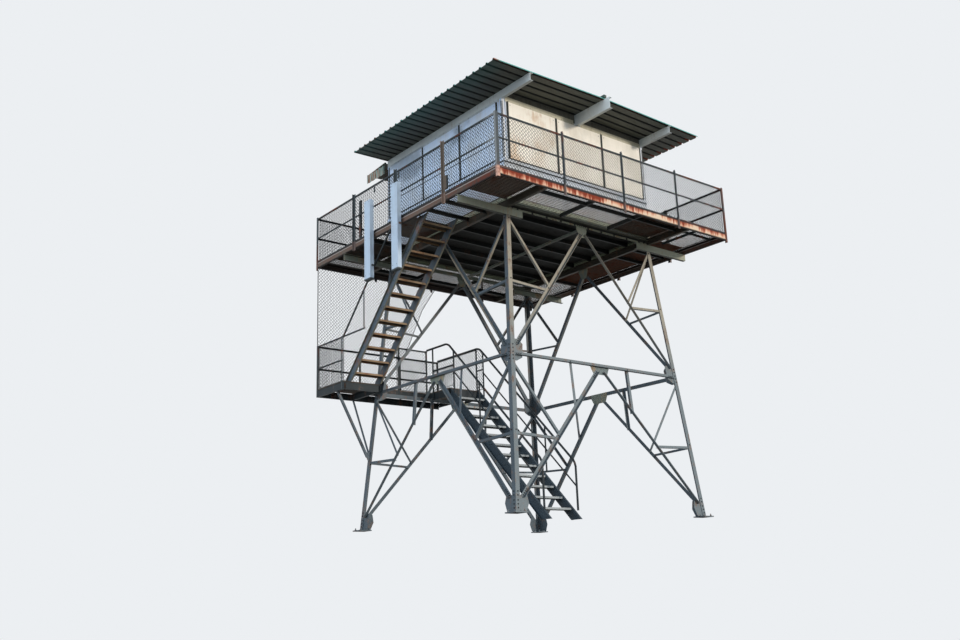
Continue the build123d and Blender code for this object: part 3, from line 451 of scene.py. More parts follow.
@dataclass(frozen=True)
class EdgeChannelCoat(Finish):
    """Peeling paint of the deck's edge: cream with orange runs on the sunlit front, and a dark grey-brown
    painted shade on the other sides.

    Attributes:
        cream: Coat of the sunlit front.
        cool: Coat of the other sides, darker than the front as painted shade.
        orange: Thin rust.
        deep: Thick rust.
        pale: Line where the paint has worn off the other sides.
        brown: Rust of the other sides near the front.
        shade: Painted shade in the lips, on the underside and on the inner faces.
        low_z: Foot of the channels.
        high_z: Their top.
    """

    name: str = "edge_channel_paint"
    cream: Colour = paint(222, 196, 168)
    cool: Colour = paint(68, 64, 60)
    orange: Colour = paint(196, 92, 44)
    deep: Colour = paint(124, 44, 20)
    pale: Colour = paint(158, 152, 146)
    brown: Colour = paint(60, 40, 33)
    shade: Colour = paint(40, 32, 30)
    low_z: float = DECK_Z - 0.15
    high_z: float = DECK_Z

    def lay(self, nodes: Recipe) -> None:
        """Lay the coat, rust that is thickest at the top edge, a pale line, and painted shade on the other
        sides, in the lips, underneath and on the inner faces.

        Args:
            nodes: The material's recipe.
        """
        x, y, z = nodes.centred()
        _, ny, nz = nodes.facing()
        toward_front = (-ny).step(*TOWARD)
        front = toward_front * (1.0 - y.step(-1.0, 0.0))
        runs = nodes.noise((12.0, 12.0, 0.7), 1.7, 5.0, 0.62)
        broad = nodes.noise((1.0, 1.0, 0.3), 1.5, 4.0, 0.55)
        fine = nodes.fine()
        left = 1.0 - x.step(-2.6, 1.4)
        near = 1.0 - (y + 3.3).step(0.2, 2.6)
        height = (z - self.low_z) / (self.high_z - self.low_z) + (runs - 0.5) * 0.16
        rust = runs * 0.62 + broad * 0.5 + fine * 0.1 + left * 0.05
        top = rust + (height - 0.5) * 0.2
        # painted shade: every side but the front takes the dark cool coat
        coat = nodes.mix(front, self.cool, self.cream)
        coat = nodes.mix(fine * 0.35, coat, darker(self.cream, 0.5))
        coat = nodes.mix(top.step(0.52, 0.64) * (front * 0.6 + 0.06).held(), coat, self.orange)
        coat = nodes.mix(near * (1.0 - front) * (0.45 + broad * 0.6).held(), coat, self.brown)
        coat = nodes.mix(top.step(0.58, 0.72) * (front * 0.75 + near * 0.3 + 0.1).held(), coat, self.deep)
        coat = nodes.mix(height.band(0.66, 0.8, 0.03) * (1.0 - front) * 0.7, coat, self.pale)
        # painted shade: a dark band under the top lip and one above the foot, on downward faces and on inner
        # faces
        upper_lip = height.step(0.76, 0.86) * 0.93
        lower_lip = (1.0 - height.step(0.08, 0.15)) * 0.9
        underside = (-nz).step(*DOWNWARD) * 0.9
        inside = toward_front * y.step(0.0, 1.0) * 0.85
        for dark in (upper_lip, lower_lip, underside, inside):
            coat = nodes.mix(dark, coat, self.shade)
        nodes.feed("Base Color", coat)
        nodes.feed("Roughness", (rust * 0.4 + 0.4).held())
        nodes.bump(rust + fine * 0.5, 0.4, 0.003)


@dataclass(frozen=True)
class WallPaint(Finish):
    """Painted sheet wall with a cool, sky-lit tone on the left as painted shade, streaks below its head,
    grime by the sill and smudges.

    Attributes:
        warm: Colour of the coat.
        cool: Its colour on the left side: painted shade in a cool, sky-lit tone.
        grime: Dirt in clouds and by the sill.
        streak: Dirt that has run down.
        stain: Blotches at the front's left end.
        smudge: Soft dark marks high on the left side.
        stained: How strong the blotches are, 0 to 1.
    """

    name: str = "wall_panel_paint"
    warm: Colour = paint(222, 226, 232)
    cool: Colour = paint(210, 228, 252)
    grime: Colour = paint(176, 166, 146)
    streak: Colour = paint(196, 160, 122)
    stain: Colour = paint(186, 112, 66)
    smudge: Colour = paint(104, 118, 130)
    stained: float = 0.0

    def lay(self, nodes: Recipe) -> None:
        """Lay the coat, the painted shade of the left side, and its dirt.

        Args:
            nodes: The material's recipe.
        """
        x, _, z = nodes.centred()
        nx, ny, _ = nodes.facing()
        left = (-nx).step(*TOWARD)
        runs = nodes.noise((11.0, 11.0, 0.55), 1.6, 5.0, 0.65)
        cloud, fine = nodes.patches(1.6), nodes.fine(60.0)
        # painted shade: the left side takes the cool, sky-lit tone
        coat = nodes.mix(left, self.warm, self.cool)
        coat = nodes.mix(cloud.step(0.42, 0.75) * 0.45, coat, self.grime)
        low = 1.0 - z.step(DECK_Z + 0.1, DECK_Z + 1.0)
        high = z.step(DECK_Z + 1.75, DECK_Z + 2.4)
        dirt = (runs.step(0.5, 0.72) * (0.3 + low * 0.35 + high * 0.4)).held()
        coat = nodes.mix(dirt * 0.35, coat, self.streak)
        coat = nodes.mix((low * 0.3 + fine * 0.12).held(), coat, self.grime)
        soft = nodes.noise((1.0, 0.8, 1.4), 1.3, 3.0, 0.5).step(0.5, 0.66)
        coat = nodes.mix(soft * z.step(DECK_Z + 1.0, DECK_Z + 1.9) * left * 0.55, coat, self.smudge)
        if self.stained > 0:
            front_left = (-ny).step(*TOWARD) * (1.0 - x.step(-1.3, 0.2))
            blotches = (runs * 0.3 + cloud * 0.75).step(0.48, 0.66)
            coat = nodes.mix(blotches * front_left * self.stained, coat, self.stain)
        nodes.feed("Base Color", coat)
        nodes.feed("Roughness", (0.5 + dirt * 0.2 + fine * 0.1).held())
        nodes.bump(nodes.noise((1.0, 1.0, 0.35), 2.2, 2.0, 0.5) + fine * 0.08, 0.25, 0.012)


@dataclass(frozen=True)
class RoofPaint(Finish):
    """Ribbed roofing: grey pans below with near-black painted shade in the ribs' hollows, green above, rust
    at the sheets' ends.

    Attributes:
        pan: Underside of the pans.
        rib_hollow_shade: Painted shade in the hollow undersides of the ribs.
        teal: Coat of the upper side.
        rust: Rust at the ends.
    """

    name: str = "roof_sheet_paint"
    pan: Colour = paint(102, 105, 97)
    rib_hollow_shade: Colour = paint(26, 28, 28)
    teal: Colour = paint(88, 150, 142)
    rust: Colour = paint(150, 70, 44)

    def lay(self, nodes: Recipe) -> None:
        """Lay the underside and the upper side, and choose between them by the normal.

        Args:
            nodes: The material's recipe.
        """
        x, y, _ = nodes.centred()
        _, ny, nz = nodes.facing()
        cloud, fine = nodes.patches(2.0), nodes.fine(70.0)
        runs = nodes.noise((0.5, 8.0, 1.0), 2.0, 4.0, 0.6)
        offset = (((y - RIB_FIRST) / RIB_PITCH + 0.5).fraction() - 0.5).size() * RIB_PITCH
        # painted shade: the hollow undersides of the ribs are near black
        rib = 1.0 - offset.step(0.022, 0.040)
        under = nodes.mix((runs.step(0.35, 0.7) * 0.6 + fine * 0.2).held(), self.pan, darker(self.pan, 0.55))
        under = nodes.mix(rib * 0.9, under, self.rib_hollow_shade)
        left_end = (-x).step(2.5, 2.95)
        under = nodes.mix(left_end * cloud.step(0.3, 0.5) * 0.22, under, self.teal)
        front_end = 1.0 - y.step(-3.04, -2.98)
        rusty = (x.step(2.86, 2.96) * rib + front_end * cloud.step(0.44, 0.54)).held()
        under = nodes.mix(rusty * 0.8, under, self.rust)
        worn = (cloud.step(0.45, 0.7) * 0.5 + fine * 0.2).held()
        upper = nodes.mix(worn, self.teal, darker(self.teal, 0.5))
        upper = nodes.mix((-ny).step(0.5, 0.9), upper, self.teal)
        ends = x.size().step(2.85, 3.05)
        rusty = (cloud.step(0.48, 0.60) * ends * 0.85 + cloud.step(0.62, 0.74) * 0.4).held()
        upper = nodes.mix(rusty, upper, self.rust)
        nodes.feed("Base Color", nodes.mix((-nz).step(0.1, 0.3), upper, under))
        nodes.feed("Roughness", (0.45 + fine * 0.15 + cloud * 0.1).held())
        nodes.bump(fine + cloud * 0.4, 0.2, 0.002)


@dataclass(frozen=True)
class RailPaint(Finish):
    """Old paint of the railings: near black rails, greyer posts, rust, one tan post, a bare corner foot.

    Attributes:
        rail: Coat of the rails.
        post: Coat of the posts.
        rust: Rust in patches, most at the front right corner.
        bare: The posts' feet, most at the front left corner.
        pale: Left face of the front left corner post.
        tan: The worn post of the left side.
        tan_span: Where that post stands along the side.
        post_face: Distance of the posts' outer leg from the centre.
    """

    name: str = "dark_rail_paint"
    rail: Colour = paint(48, 54, 56)
    post: Colour = paint(88, 94, 96)
    rust: Colour = paint(104, 58, 42)
    bare: Colour = paint(206, 158, 138)
    pale: Colour = paint(138, 140, 140)
    tan: Colour = paint(112, 98, 86)
    tan_span: Pair = (-1.78, -1.64)
    post_face: float = DECK_HALF + 0.0035

    def lay(self, nodes: Recipe) -> None:
        """Lay the coat of rails and posts, the pale front left corner, the tan post and the rust.

        Args:
            nodes: The material's recipe.
        """
        x, y, z = nodes.centred()
        nx, _, _ = nodes.facing()
        cloud, runs, fine = nodes.patches(1.6), nodes.runs(), nodes.fine()
        reach = x.size().most(y.size())
        post = reach.step(self.post_face - 0.001, self.post_face + 0.001)
        coat = nodes.mix(post * 0.8, self.rail, self.post)
        coat = nodes.mix((fine * 0.4 + runs * 0.25).held(), coat, darker(self.rail, 0.6))
        foot = (1.0 - z.step(DECK_Z - 0.02, DECK_Z + 0.03)) * z.step(DECK_Z - 0.4, DECK_Z - 0.3)
        corner = (-x - y).step(6.2, 6.6)
        coat = nodes.mix(corner * (-nx).step(0.5, 0.8) * 0.8, coat, self.pale)
        tan_post = (-x).step(3.2, 3.34) * y.band(*self.tan_span, 0.02)
        coat = nodes.mix(tan_post * (fine * 0.4 + 0.6).held(), coat, self.tan)
        coat = nodes.mix((corner * foot * 0.7 + foot * post * 0.2).held(), coat, self.bare)
        rusty_corner = (x - y).step(6.3, 6.6)
        rusty = (cloud * 0.7 + runs * 0.3 + fine * 0.06 + rusty_corner * 0.12).step(0.57, 0.65)
        coat = nodes.mix(rusty * 0.75, coat, self.rust)
        nodes.feed("Base Color", coat)
        nodes.feed("Roughness", (rusty * 0.3 + fine * 0.1 + 0.5).held())
        nodes.bump(rusty * 0.5 + fine, 0.35, 0.002)


@dataclass(frozen=True)
class PlainCoat(Finish):
    """Even coat with a little dirt in it: panels, boards and trim.

    Attributes:
        coat: Colour of the coat.
        dirt: Colour of the dirt.
        roughness: Roughness where it is clean.
        dirt_share: How strong the dirt is, 0 to 1.
    """

    coat: Colour
    dirt: Colour
    roughness: float = 0.55
    dirt_share: float = 0.4

    def lay(self, nodes: Recipe) -> None:
        """Lay the coat and its dirt.

        Args:
            nodes: The material's recipe.
        """
        runs = nodes.noise((10.0, 10.0, 0.4), 1.8, 5.0, 0.6)
        fine = nodes.fine()
        cloud = nodes.patches(2.4)
        dirt = (cloud.step(0.42, 0.75) * 0.5 + runs.step(0.48, 0.75) * 0.6 + fine * 0.12).held()
        nodes.feed("Base Color", nodes.mix(dirt * self.dirt_share * 2.0, self.coat, self.dirt))
        nodes.feed("Roughness", (self.roughness + dirt * 0.2).held())
        nodes.bump(fine + runs * 0.5, 0.22, 0.002)


# front and front_low colours in this table are painted sunlight on front faces; under colours are painted
# shade on faces that look down
SLOT_FINISH: dict[Slot, Finish] = {
    Slot.GALVANISED: WornSteel(
        "galvanised_steel", paint(92, 102, 109), paint(76, 86, 93), paint(92, 66, 52),
        paint(126, 100, 82), cover=0.26, streak=0.35, roughness=0.5, metallic=0.15, scale=5.0,
        front=paint(180, 168, 146), front_low=paint(124, 132, 134),
    ),
    Slot.DECK_STEEL: WornSteel(
        "deck_beam_steel", paint(84, 78, 68), paint(66, 62, 54), paint(104, 62, 42), paint(108, 84, 66),
        cover=0.3,
    ),
    Slot.GREEN_STEEL: WornSteel(
        "green_steel_paint", paint(140, 146, 134), paint(122, 128, 118), paint(138, 92, 60),
        paint(176, 148, 112), cover=0.3, under=paint(70, 68, 60), front=paint(190, 188, 164),
        front_low=paint(108, 120, 124),
    ),
    Slot.DARK_STEEL: RailPaint(),
    Slot.GRATING: WornSteel(
        "walkway_grating_steel", paint(104, 98, 92), paint(80, 74, 68), paint(112, 68, 48),
        paint(120, 88, 70), cover=0.35, roughness=0.65,
    ),
    # wall and shutter paint: the cool colour of the left side is painted sky-lit shade
    Slot.WALL_PANEL: WallPaint(),
    Slot.SHUTTER_PANEL: WallPaint(
        "shutter_paint", paint(252, 242, 226), paint(212, 230, 254), paint(190, 182, 164),
        paint(200, 182, 150), paint(200, 150, 96), stained=0.6,
    ),
    Slot.DARK_TRIM: PlainCoat("dark_trim_paint", paint(46, 52, 50), paint(66, 56, 46)),
    Slot.ROOF_SHEET: RoofPaint(),
    Slot.ROOF_BEAM: WornSteel(
        "roof_beam_paint", paint(226, 232, 230), paint(200, 206, 206), paint(128, 84, 60),
        paint(166, 142, 122), cover=0.14,
    ),
    Slot.STAIR_STEEL: WornSteel(
        "stair_steel_paint", paint(54, 60, 62), paint(44, 50, 53), paint(104, 60, 44), paint(110, 86, 74),
        cover=0.22,
    ),
    Slot.TREAD_STEEL: WornSteel(
        "tread_steel", paint(176, 170, 158), paint(150, 140, 126), paint(150, 84, 50),
        paint(190, 140, 100), cover=0.35, under=paint(46, 42, 38),
    ),
    Slot.WHITE_PANEL: PlainCoat(
        "white_panel_paint", paint(188, 204, 220), paint(156, 160, 164), dirt_share=0.28,
    ),
    # painted shade: the boards' coat is near black for the deep shade under the deck
    Slot.FLOOR_BOARD: PlainCoat(
        "floor_board_wood", paint(24, 23, 20), paint(18, 16, 14), roughness=0.75, dirt_share=0.5,
    ),
}

# the under colours in this table are painted shade on faces that look down
NODE_FINISH: dict[str, Finish] = {
    "edge_channels": EdgeChannelCoat(),
    "floor_rim": WornSteel(
        "floor_rim_paint", paint(196, 202, 176), paint(170, 176, 152), paint(140, 90, 58),
        paint(176, 146, 108), cover=0.26, under=paint(74, 74, 66),
    ),
    "eave_closures": PlainCoat("eave_closure_paint", paint(104, 102, 92), paint(66, 58, 48)),
    # painted shade: the joists' coat is near black for the deep shade under the deck
    "deck_joists": WornSteel(
        "joist_steel", paint(27, 29, 28), paint(21, 23, 22), paint(72, 46, 34), paint(60, 48, 40),
        cover=0.25,
    ),
    "upper_stair_stringers": WornSteel(
        "upper_stringer_paint", paint(96, 108, 116), paint(82, 92, 100), paint(116, 62, 40),
        paint(132, 98, 78), cover=0.28, across=paint(142, 134, 112),
    ),
    "upper_stair_treads": WornSteel(
        "upper_tread_steel", paint(170, 146, 116), paint(136, 110, 84), paint(128, 72, 42),
        paint(150, 108, 74), cover=0.36, under=paint(42, 38, 34),
    ),
    "lower_stair_stringers": WornSteel(
        "lower_stringer_paint", paint(62, 76, 86), paint(50, 61, 69), paint(90, 60, 46),
        paint(86, 78, 72), cover=0.16,
    ),
    "lower_stair_treads": WornSteel(
        "lower_tread_steel", paint(176, 180, 180), paint(150, 154, 154), paint(130, 86, 60),
        paint(160, 140, 120), cover=0.14, under=paint(42, 44, 46),
    ),
    "ridge_cap": WornSteel(
        "ridge_cap_paint", paint(70, 96, 90), paint(54, 74, 70), paint(110, 66, 48), paint(100, 84, 70),
        cover=0.3, under=paint(40, 44, 42),
    ),
    "door_hood": WornSteel(
        "hood_sheet_paint", paint(168, 186, 176), paint(122, 144, 136), paint(116, 62, 38),
        paint(168, 96, 58), cover=0.45, streak=0.55, scale=2.0, under=paint(60, 56, 50),
    ),
}

EXTRA_FINISHES: tuple[Finish, ...] = (
    WornSteel(
        "fence_wire_zinc", paint(27, 31, 33), paint(20, 24, 26), paint(54, 38, 30), paint(48, 42, 36),
        cover=0.12,
    ),
    WornSteel(
        "corner_sheet_steel", paint(196, 176, 168), paint(168, 144, 134), paint(110, 66, 50),
        paint(140, 104, 88), cover=0.3,
    ),
    WornSteel(
        "bay_sheet_steel", paint(112, 92, 78), paint(84, 66, 56), paint(100, 60, 44), paint(110, 80, 62),
        cover=0.5,
    ),
    WornSteel(
        "side_sheet_steel", paint(196, 116, 76), paint(150, 88, 60), paint(150, 72, 42),
        paint(190, 104, 68), cover=0.5,
    ),
    WornSteel(
        "back_sheet_steel", paint(70, 58, 50), paint(52, 44, 38), paint(90, 54, 40), paint(86, 66, 54),
        cover=0.4,
    ),
    # fascia board: its cool colour on the left side is painted sky-lit shade
    WallPaint(
        "fascia_board_paint", paint(200, 192, 168), paint(196, 206, 214), paint(128, 120, 98),
        paint(120, 100, 74),
    ),
    PlainCoat("joint_shadow_paint", paint(40, 42, 40), paint(56, 48, 40)),
)


class Shop:
    """Makes each finish once, and dresses the frame with them."""

    def __init__(self) -> None:
        """Make the finishes of the slots, of the nodes that differ from their slot, and the extra ones."""
        self.materials = {slot: finish.material() for slot, finish in SLOT_FINISH.items()}
        self.special = {node: finish.material() for node, finish in NODE_FINISH.items()}
        self.extra = {finish.name: finish.material() for finish in EXTRA_FINISHES}

    def dress_frame(self) -> None:
        """Give each CAD node its finish."""
        slots = {part["node"]: Slot(part["material_slot"]) for part in frame["record"]["subparts"]}
        for name, node in frame["nodes"].items():
            node.data.materials.clear()
            node.data.materials.append(self.special.get(name, self.materials[slots[name]]))
            LOG.info("%s: dressed as %s", name, node.data.materials[0].name)


class MeshMaker:
    """Collects shapes around the deck's centre into one mesh; a quarter turn puts them on another side."""

    def __init__(self, side: Side = Side.FRONT) -> None:
        """Start with no points and no faces.

        Args:
            side: The side that the first shapes are turned to.
        """
        self.points: list[np.ndarray] = []
        self.faces: list[list[int]] = []
        self.count = 0
        self.side = side

    def _add(self, points: Sequence[Point], faces: Sequence[Sequence[int]]) -> None:
        """Turn points to the present side and append them with their faces.

        Args:
            points: Places as seen on the front, from the deck's centre.
            faces: Corners of each face, counted from the first of these points.
        """
        quarter = self.side.value * math.pi / 2
        c, s = round(math.cos(quarter)), round(math.sin(quarter))
        turned = np.asarray(points, dtype=float) @ np.array(((c, s, 0.0), (-s, c, 0.0), (0.0, 0.0, 1.0)))
        self.points.append(turned + (SHIFT_X, 0.0, 0.0))
        self.faces.extend([[corner + self.count for corner in face] for face in faces])
        self.count += len(turned)

    def box(self, low: Point, high: Point) -> None:
        """Add an upright box.

        Args:
            low: Its lowest corner.
            high: Its highest corner.
        """
        (x0, y0, z0), (x1, y1, z1) = low, high
        points = [(x, y, z) for z in (z0, z1) for y in (y0, y1) for x in (x0, x1)]
        faces = ((0, 2, 3, 1), (4, 5, 7, 6), (0, 1, 5, 4), (2, 6, 7, 3), (0, 4, 6, 2), (1, 3, 7, 5))
        self._add(points, faces)

    def wires(self, lines: np.ndarray, side: Point, out: Point, radius: float) -> None:
        """Add four-sided wires that all lie in one plane.

        Args:
            lines: Points of each wire, as wires by points by three.
            side: Direction in the plane across the wires.
            out: The plane's normal.
            radius: Half of the wire's thickness.
        """
        wires, steps, _ = lines.shape
        offsets = np.array([side, out, [-c for c in side], [-c for c in out]]) * radius
        points = (lines[:, :, None, :] + offsets[None, None]).reshape(-1, 3)
        base = (np.arange(wires) * steps * 4)[:, None, None] + (np.arange(steps - 1) * 4)[None, :, None]
        turn = np.arange(4)
        following = (turn + 1) % 4
        quads = np.stack([base + turn, base + following, base + 4 + following, base + 4 + turn], axis=-1)
        self._add(points, quads.reshape(-1, 4).tolist())

    def turned(self, centre: Point, axis: Point, profile: Sequence[Pair], sides: int = 12) -> None:
        """Add a closed round body.

        Args:
            centre: Start of its axis.
            axis: Direction of its axis.
            profile: Radius and distance along the axis of each ring.
            sides: Flats around it.
        """
        along = Vector(axis).normalized()
        across = along.cross(Vector(OFF_AXIS)).normalized()
        other = along.cross(across)
        points = []
        for radius, reach in profile:
            for angle in np.arange(sides) * math.tau / sides:
                spot = (across * math.cos(angle) + other * math.sin(angle)) * radius
                points.append(tuple(Vector(centre) + spot + along * reach))
        faces = [tuple(range(sides - 1, -1, -1)), tuple(range(len(points) - sides, len(points)))]
        for a in range(0, len(points) - sides, sides):
            b = a + sides
            faces += [(a + k, a + (k + 1) % sides, b + (k + 1) % sides, b + k) for k in range(sides)]
        self._add(points, faces)

    def bolt(self, centre: Point, normal: Point, radius: float = 0.013, height: float = 0.011) -> None:
        """Add a six-sided bolt head that stands on a surface and narrows a little."""
        self.turned(centre, normal, ((radius, 0.0), (radius * 0.9, height)), 6)

    def build(self, name: str, shop: Shop, slot: Slot, finish: Optional[str] = None) -> bpy.types.Object:
        """Make the object and let it ride on the root.

        Args:
            name: The piece's name.
            shop: Where its finish comes from.
            slot: The record's slot that the finish belongs to.
            finish: Name of an extra finish, where the slot's own isn't the right one.

        Returns:
            The linked object.
        """
        mesh = bpy.data.meshes.new(name)
        mesh.from_pydata(np.concatenate(self.points).tolist(), [], self.faces)
        mesh.materials.append(shop.extra[finish] if finish else shop.materials[slot])
        mesh.update()
        piece = placed(name, mesh)
        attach(piece, "root")
        LOG.info("%s: %d points", name, len(mesh.vertices))
        return piece


@dataclass
class ChainLink:
    """Woven wire inside an upright outline.

    Attributes:
        name: The piece's name.
        outline: Corners as distance along the side and height.
        plane: Distance of the fence from the deck's centre, negative toward the side's outside.
        side: Which side of the tower it stands on.
        mesh: Side of a diamond.
        wire: Wire diameter.
        edge: Diameter of the wire round the outline.
    """

    name: str
    outline: Sequence[Pair]
    plane: float
    side: Side = Side.FRONT
    mesh: float = 0.056
    wire: float = 0.011
    edge: float = 0.013

    def edges(self) -> list[tuple[Pair, Pair]]:
        """Each corner of the outline with the next."""
        return list(zip(self.outline, [*self.outline[1:], self.outline[0]]))

    def inside(self, u: np.ndarray, z: np.ndarray) -> np.ndarray:
        """Find which points lie inside the outline.

        Args:
            u: Their distances along the side.
            z: Their heights.

        Returns:
            True for each point inside.
        """
        within = np.zeros(u.shape, dtype=bool)
        for (u0, z0), (u1, z1) in self.edges():
            if z0 != z1:
                within ^= ((z0 > z) != (z1 > z)) & (u < (u1 - u0) * (z - z0) / (z1 - z0) + u0)
        return within

    def build(self, shop: Shop) -> None:
        """Weave the wires and run one round the outline.

        Args:
            shop: Where the finish comes from.
        """
        corners = np.array(self.outline)
        low, high = corners.min(axis=0), corners.max(axis=0)
        counts = np.maximum(2, np.round((high - low) * math.sqrt(2) / self.mesh)).astype(int)
        step = (high - low) / counts
        cells = np.meshgrid(np.arange(counts[0]), np.arange(counts[1]), indexing="ij")
        i, j = (grid.ravel() for grid in cells)
        keep = self.inside(low[0] + (i + 0.5) * step[0], low[1] + (j + 0.5) * step[1])
        i, j = i[keep], j[keep]
        odd = (i + j) % 2
        ends = []
        for rise, over in ((0, odd), (1, 1 - odd)):
            lift = (over * 2 - 1) * np.where(i % 2 == 0, 1, -1) * self.wire / 2
            along, height = low[0] + (i + over) * step[0], low[1] + (j + rise) * step[1]
            ends.append(np.stack([along, self.plane + lift, height], axis=1))
        maker = MeshMaker(self.side)
        maker.wires(np.stack(ends, axis=1), (1, 0, 0), (0, 1, 0), self.wire / 2)
        for (u0, z0), (u1, z1) in self.edges():
            length = math.hypot(u1 - u0, z1 - z0)
            across = ((z1 - z0) / length, 0, (u0 - u1) / length)
            rim = np.array([[(u0, self.plane, z0), (u1, self.plane, z1)]])
            maker.wires(rim, across, (0, 1, 0), self.edge / 2)
        maker.build(self.name, shop, Slot.DARK_STEEL, "fence_wire_zinc")


@dataclass
class Gratings:
    """Open bar gratings of the walkway and landing, the sheets laid on some bays, and two T bars below one.

    Attributes:
        outer: Outer edge of the walkway from the centre.
        inner: Its inner edge.
        low: Underside of its plates.
        top: Their top.
        hatch: Ends of the stair hatch along the left side.
        joint: Ends of the gap between the plates behind the hatch.
        bar: Thickness of a bearing bar.
        depth: Depth of a bearing bar.
        pitch: Spacing of the bearing bars.
        rod: Thickness of a cross rod.
        rod_pitch: Spacing of the cross rods.
        sheet: Thickness of the sheets on the walkway.
        hem: Width of a sheet's hems.
        rib: Width of a sheet's ribs.
        rib_pitch: Spacing of the ribs.
        tees: Edges of the T bars' flanges, in X of the one that runs to the back and in Y of the other.
        tee_thick: Thickness of a T bar.
        tee_depth: Depth of its web.
        landing_thick: Thickness of the landing's plates.
        landing_plates: Lower and upper corner of each of them in plan.
    """

    outer: float = DECK_HALF - 0.05
    inner: float = CAB_HALF + 0.013
    low: float = DECK_Z - 0.008
    top: float = DECK_Z + 0.022
    hatch: Pair = (-0.30, 0.80)
    joint: Pair = (1.236, 1.24)
    bar: float = 0.005
    depth: float = 0.012
    pitch: float = 0.048
    rod: float = 0.005
    rod_pitch: float = 0.1
    sheet: float = 0.004
    hem: float = 0.03
    rib: float = 0.012
    rib_pitch: float = 0.12
    tees: tuple[Pair, Pair] = ((2.53, 2.57), (-2.97, -2.93))
    tee_thick: float = 0.006
    tee_depth: float = 0.05
    landing_thick: float = 0.03
    landing_plates: tuple[tuple[Pair, Pair], ...] = (
        ((-2.412, 2.448), (0.08, 3.29)), ((-3.343, 2.108), (-2.413, 3.29)), ((-0.85, 1.63), (0.08, 2.438)),
    )

    def lay(self, maker: MeshMaker, low: Point, high: Point, along: int) -> None:
        """Fill one rectangle with bars, rods and end bars.

        Args:
            maker: Mesh that takes the bars.
            low: Lower corner of the slab.
            high: Upper corner of the slab.
            along: Axis that the bearing bars follow, 0 or 1.
        """
        across = 1 - along
        count = max(2, round((high[across] - low[across]) / self.pitch))
        places = np.linspace(low[across], high[across] - self.bar, count + 1)
        bars = [(across, at, self.bar, 0.0, self.depth) for at in places]
        count = max(2, round((high[along] - low[along]) / self.rod_pitch))
        places = np.linspace(low[along], high[along], count + 1)[1:-1]
        bars += [(along, at - self.rod / 2, self.rod, 0.001, self.rod) for at in places]
        bars += [(along, at, self.bar, 0.0, self.depth) for at in (low[along], high[along] - self.bar)]
        for axis, at, thick, drop, depth in bars:
            first, last = list(low), list(high)
            first[axis], last[axis] = at, at + thick
            first[2], last[2] = high[2] - drop - depth, high[2] - drop
            maker.box(first, last)

    def cover(self, low: Pair, high: Pair) -> MeshMaker:
        """Make a steel sheet on the walkway's plates, with ribs and hems on it.

        Args:
            low: Its lower corner in plan.
            high: Its upper corner in plan.

        Returns:
            The mesh with the sheet in it.
        """
        maker = MeshMaker()
        hem, face = self.hem, self.top + self.sheet
        maker.box((*low, self.top), (*high, face))
        for y in np.arange(low[1] + 0.05, high[1] - 0.02, self.rib_pitch):
            maker.box((low[0] + hem, y, face), (high[0] - hem, y + self.rib, face + 0.003))
        for x in (low[0], high[0] - hem):
            maker.box((x, low[1], face), (x + hem, high[1], face + 0.002))
        return maker

    def walkway(self, shop: Shop) -> None:
        """Lay the walkway's plates round the hatch.

        Args:
            shop: Where the finish comes from.
        """
        outer, inner, end = self.outer, self.inner, self.inner - 0.004
        maker = MeshMaker()
        for low, high, along in (
            ((-outer, -outer), (outer, -inner), 0),
            ((-outer, inner), (outer, outer), 0),
            ((inner, -end), (outer, end), 1),
            ((-outer, -end), (-inner, self.hatch[0]), 1),
            ((-outer, self.hatch[1]), (-inner, self.joint[0]), 1),
            ((-outer, self.joint[1]), (-inner, end), 1),
        ):
            self.lay(maker, (*low, self.low), (*high, self.top), along)
        walkway = maker.build("open_walkway", shop, Slot.GRATING)
        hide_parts("walkway_gratings")

    def sheets(self, shop: Shop) -> None:
        """Lay the sheets on the bays that are closed, and the cover over the hatch.

        Args:
            shop: Where the finishes come from.
        """
        outer, inner = self.outer, self.inner
        start, end = self.hatch
        for name, low, high, finish in (
            ("walkway_sheet_front", (0.76, -outer), (2.06, -inner), "bay_sheet_steel"),
            ("walkway_sheet_corner", (-outer, -outer), (-inner, -inner), "corner_sheet_steel"),
            ("walkway_sheet_right", (inner, -inner + 0.01), (outer, 1.5), "side_sheet_steel"),
            ("walkway_sheet_left", (-outer, self.joint[1]), (-inner, 2.97), "back_sheet_steel"),
            ("hatch_cover", (-outer + 0.01, start), (-inner - 0.01, end), "back_sheet_steel"),
        ):
            self.cover(low, high).build(name, shop, Slot.GRATING, finish)

    def corner_bars(self, shop: Shop) -> None:
        """Put a T bar under the front right bay from front to back, and one from left to right.

        Args:
            shop: Where the finish comes from.
        """
        maker = MeshMaker()
        web_top = self.low - self.tee_thick
        (x0, x1), (y0, y1) = self.tees
        bays = ((0, (x0, -self.outer), (x1, -self.inner)), (1, (self.inner, y0), (self.outer, y1)))
        for across, low, high in bays:
            maker.box((*low, web_top), (*high, self.low))
            middle = (low[across] + high[across]) / 2
            first, last = [*low, web_top - self.tee_depth], [*high, web_top]
            first[across], last[across] = middle - self.tee_thick / 2, middle + self.tee_thick / 2
            maker.box(first, last)
        maker.build("corner_bay_bars", shop, Slot.DARK_STEEL)

    def landing(self, shop: Shop) -> None:
        """Lay the landing's three plates.

        Args:
            shop: Where the finish comes from.
        """
        maker = MeshMaker()
        for low, high in self.landing_plates:
            self.lay(maker, (*low, LANDING_Z - self.landing_thick), (*high, LANDING_Z), 0)
        landing = maker.build("open_landing", shop, Slot.GRATING)
        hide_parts("landing_floor")

    def build(self, shop: Shop) -> None:
        """Lay the walkway, its sheets and bars, and the landing.

        Args:
            shop: Where the finishes come from.
        """
        self.walkway(shop)
        self.sheets(shop)
        self.corner_bars(shop)
        self.landing(shop)


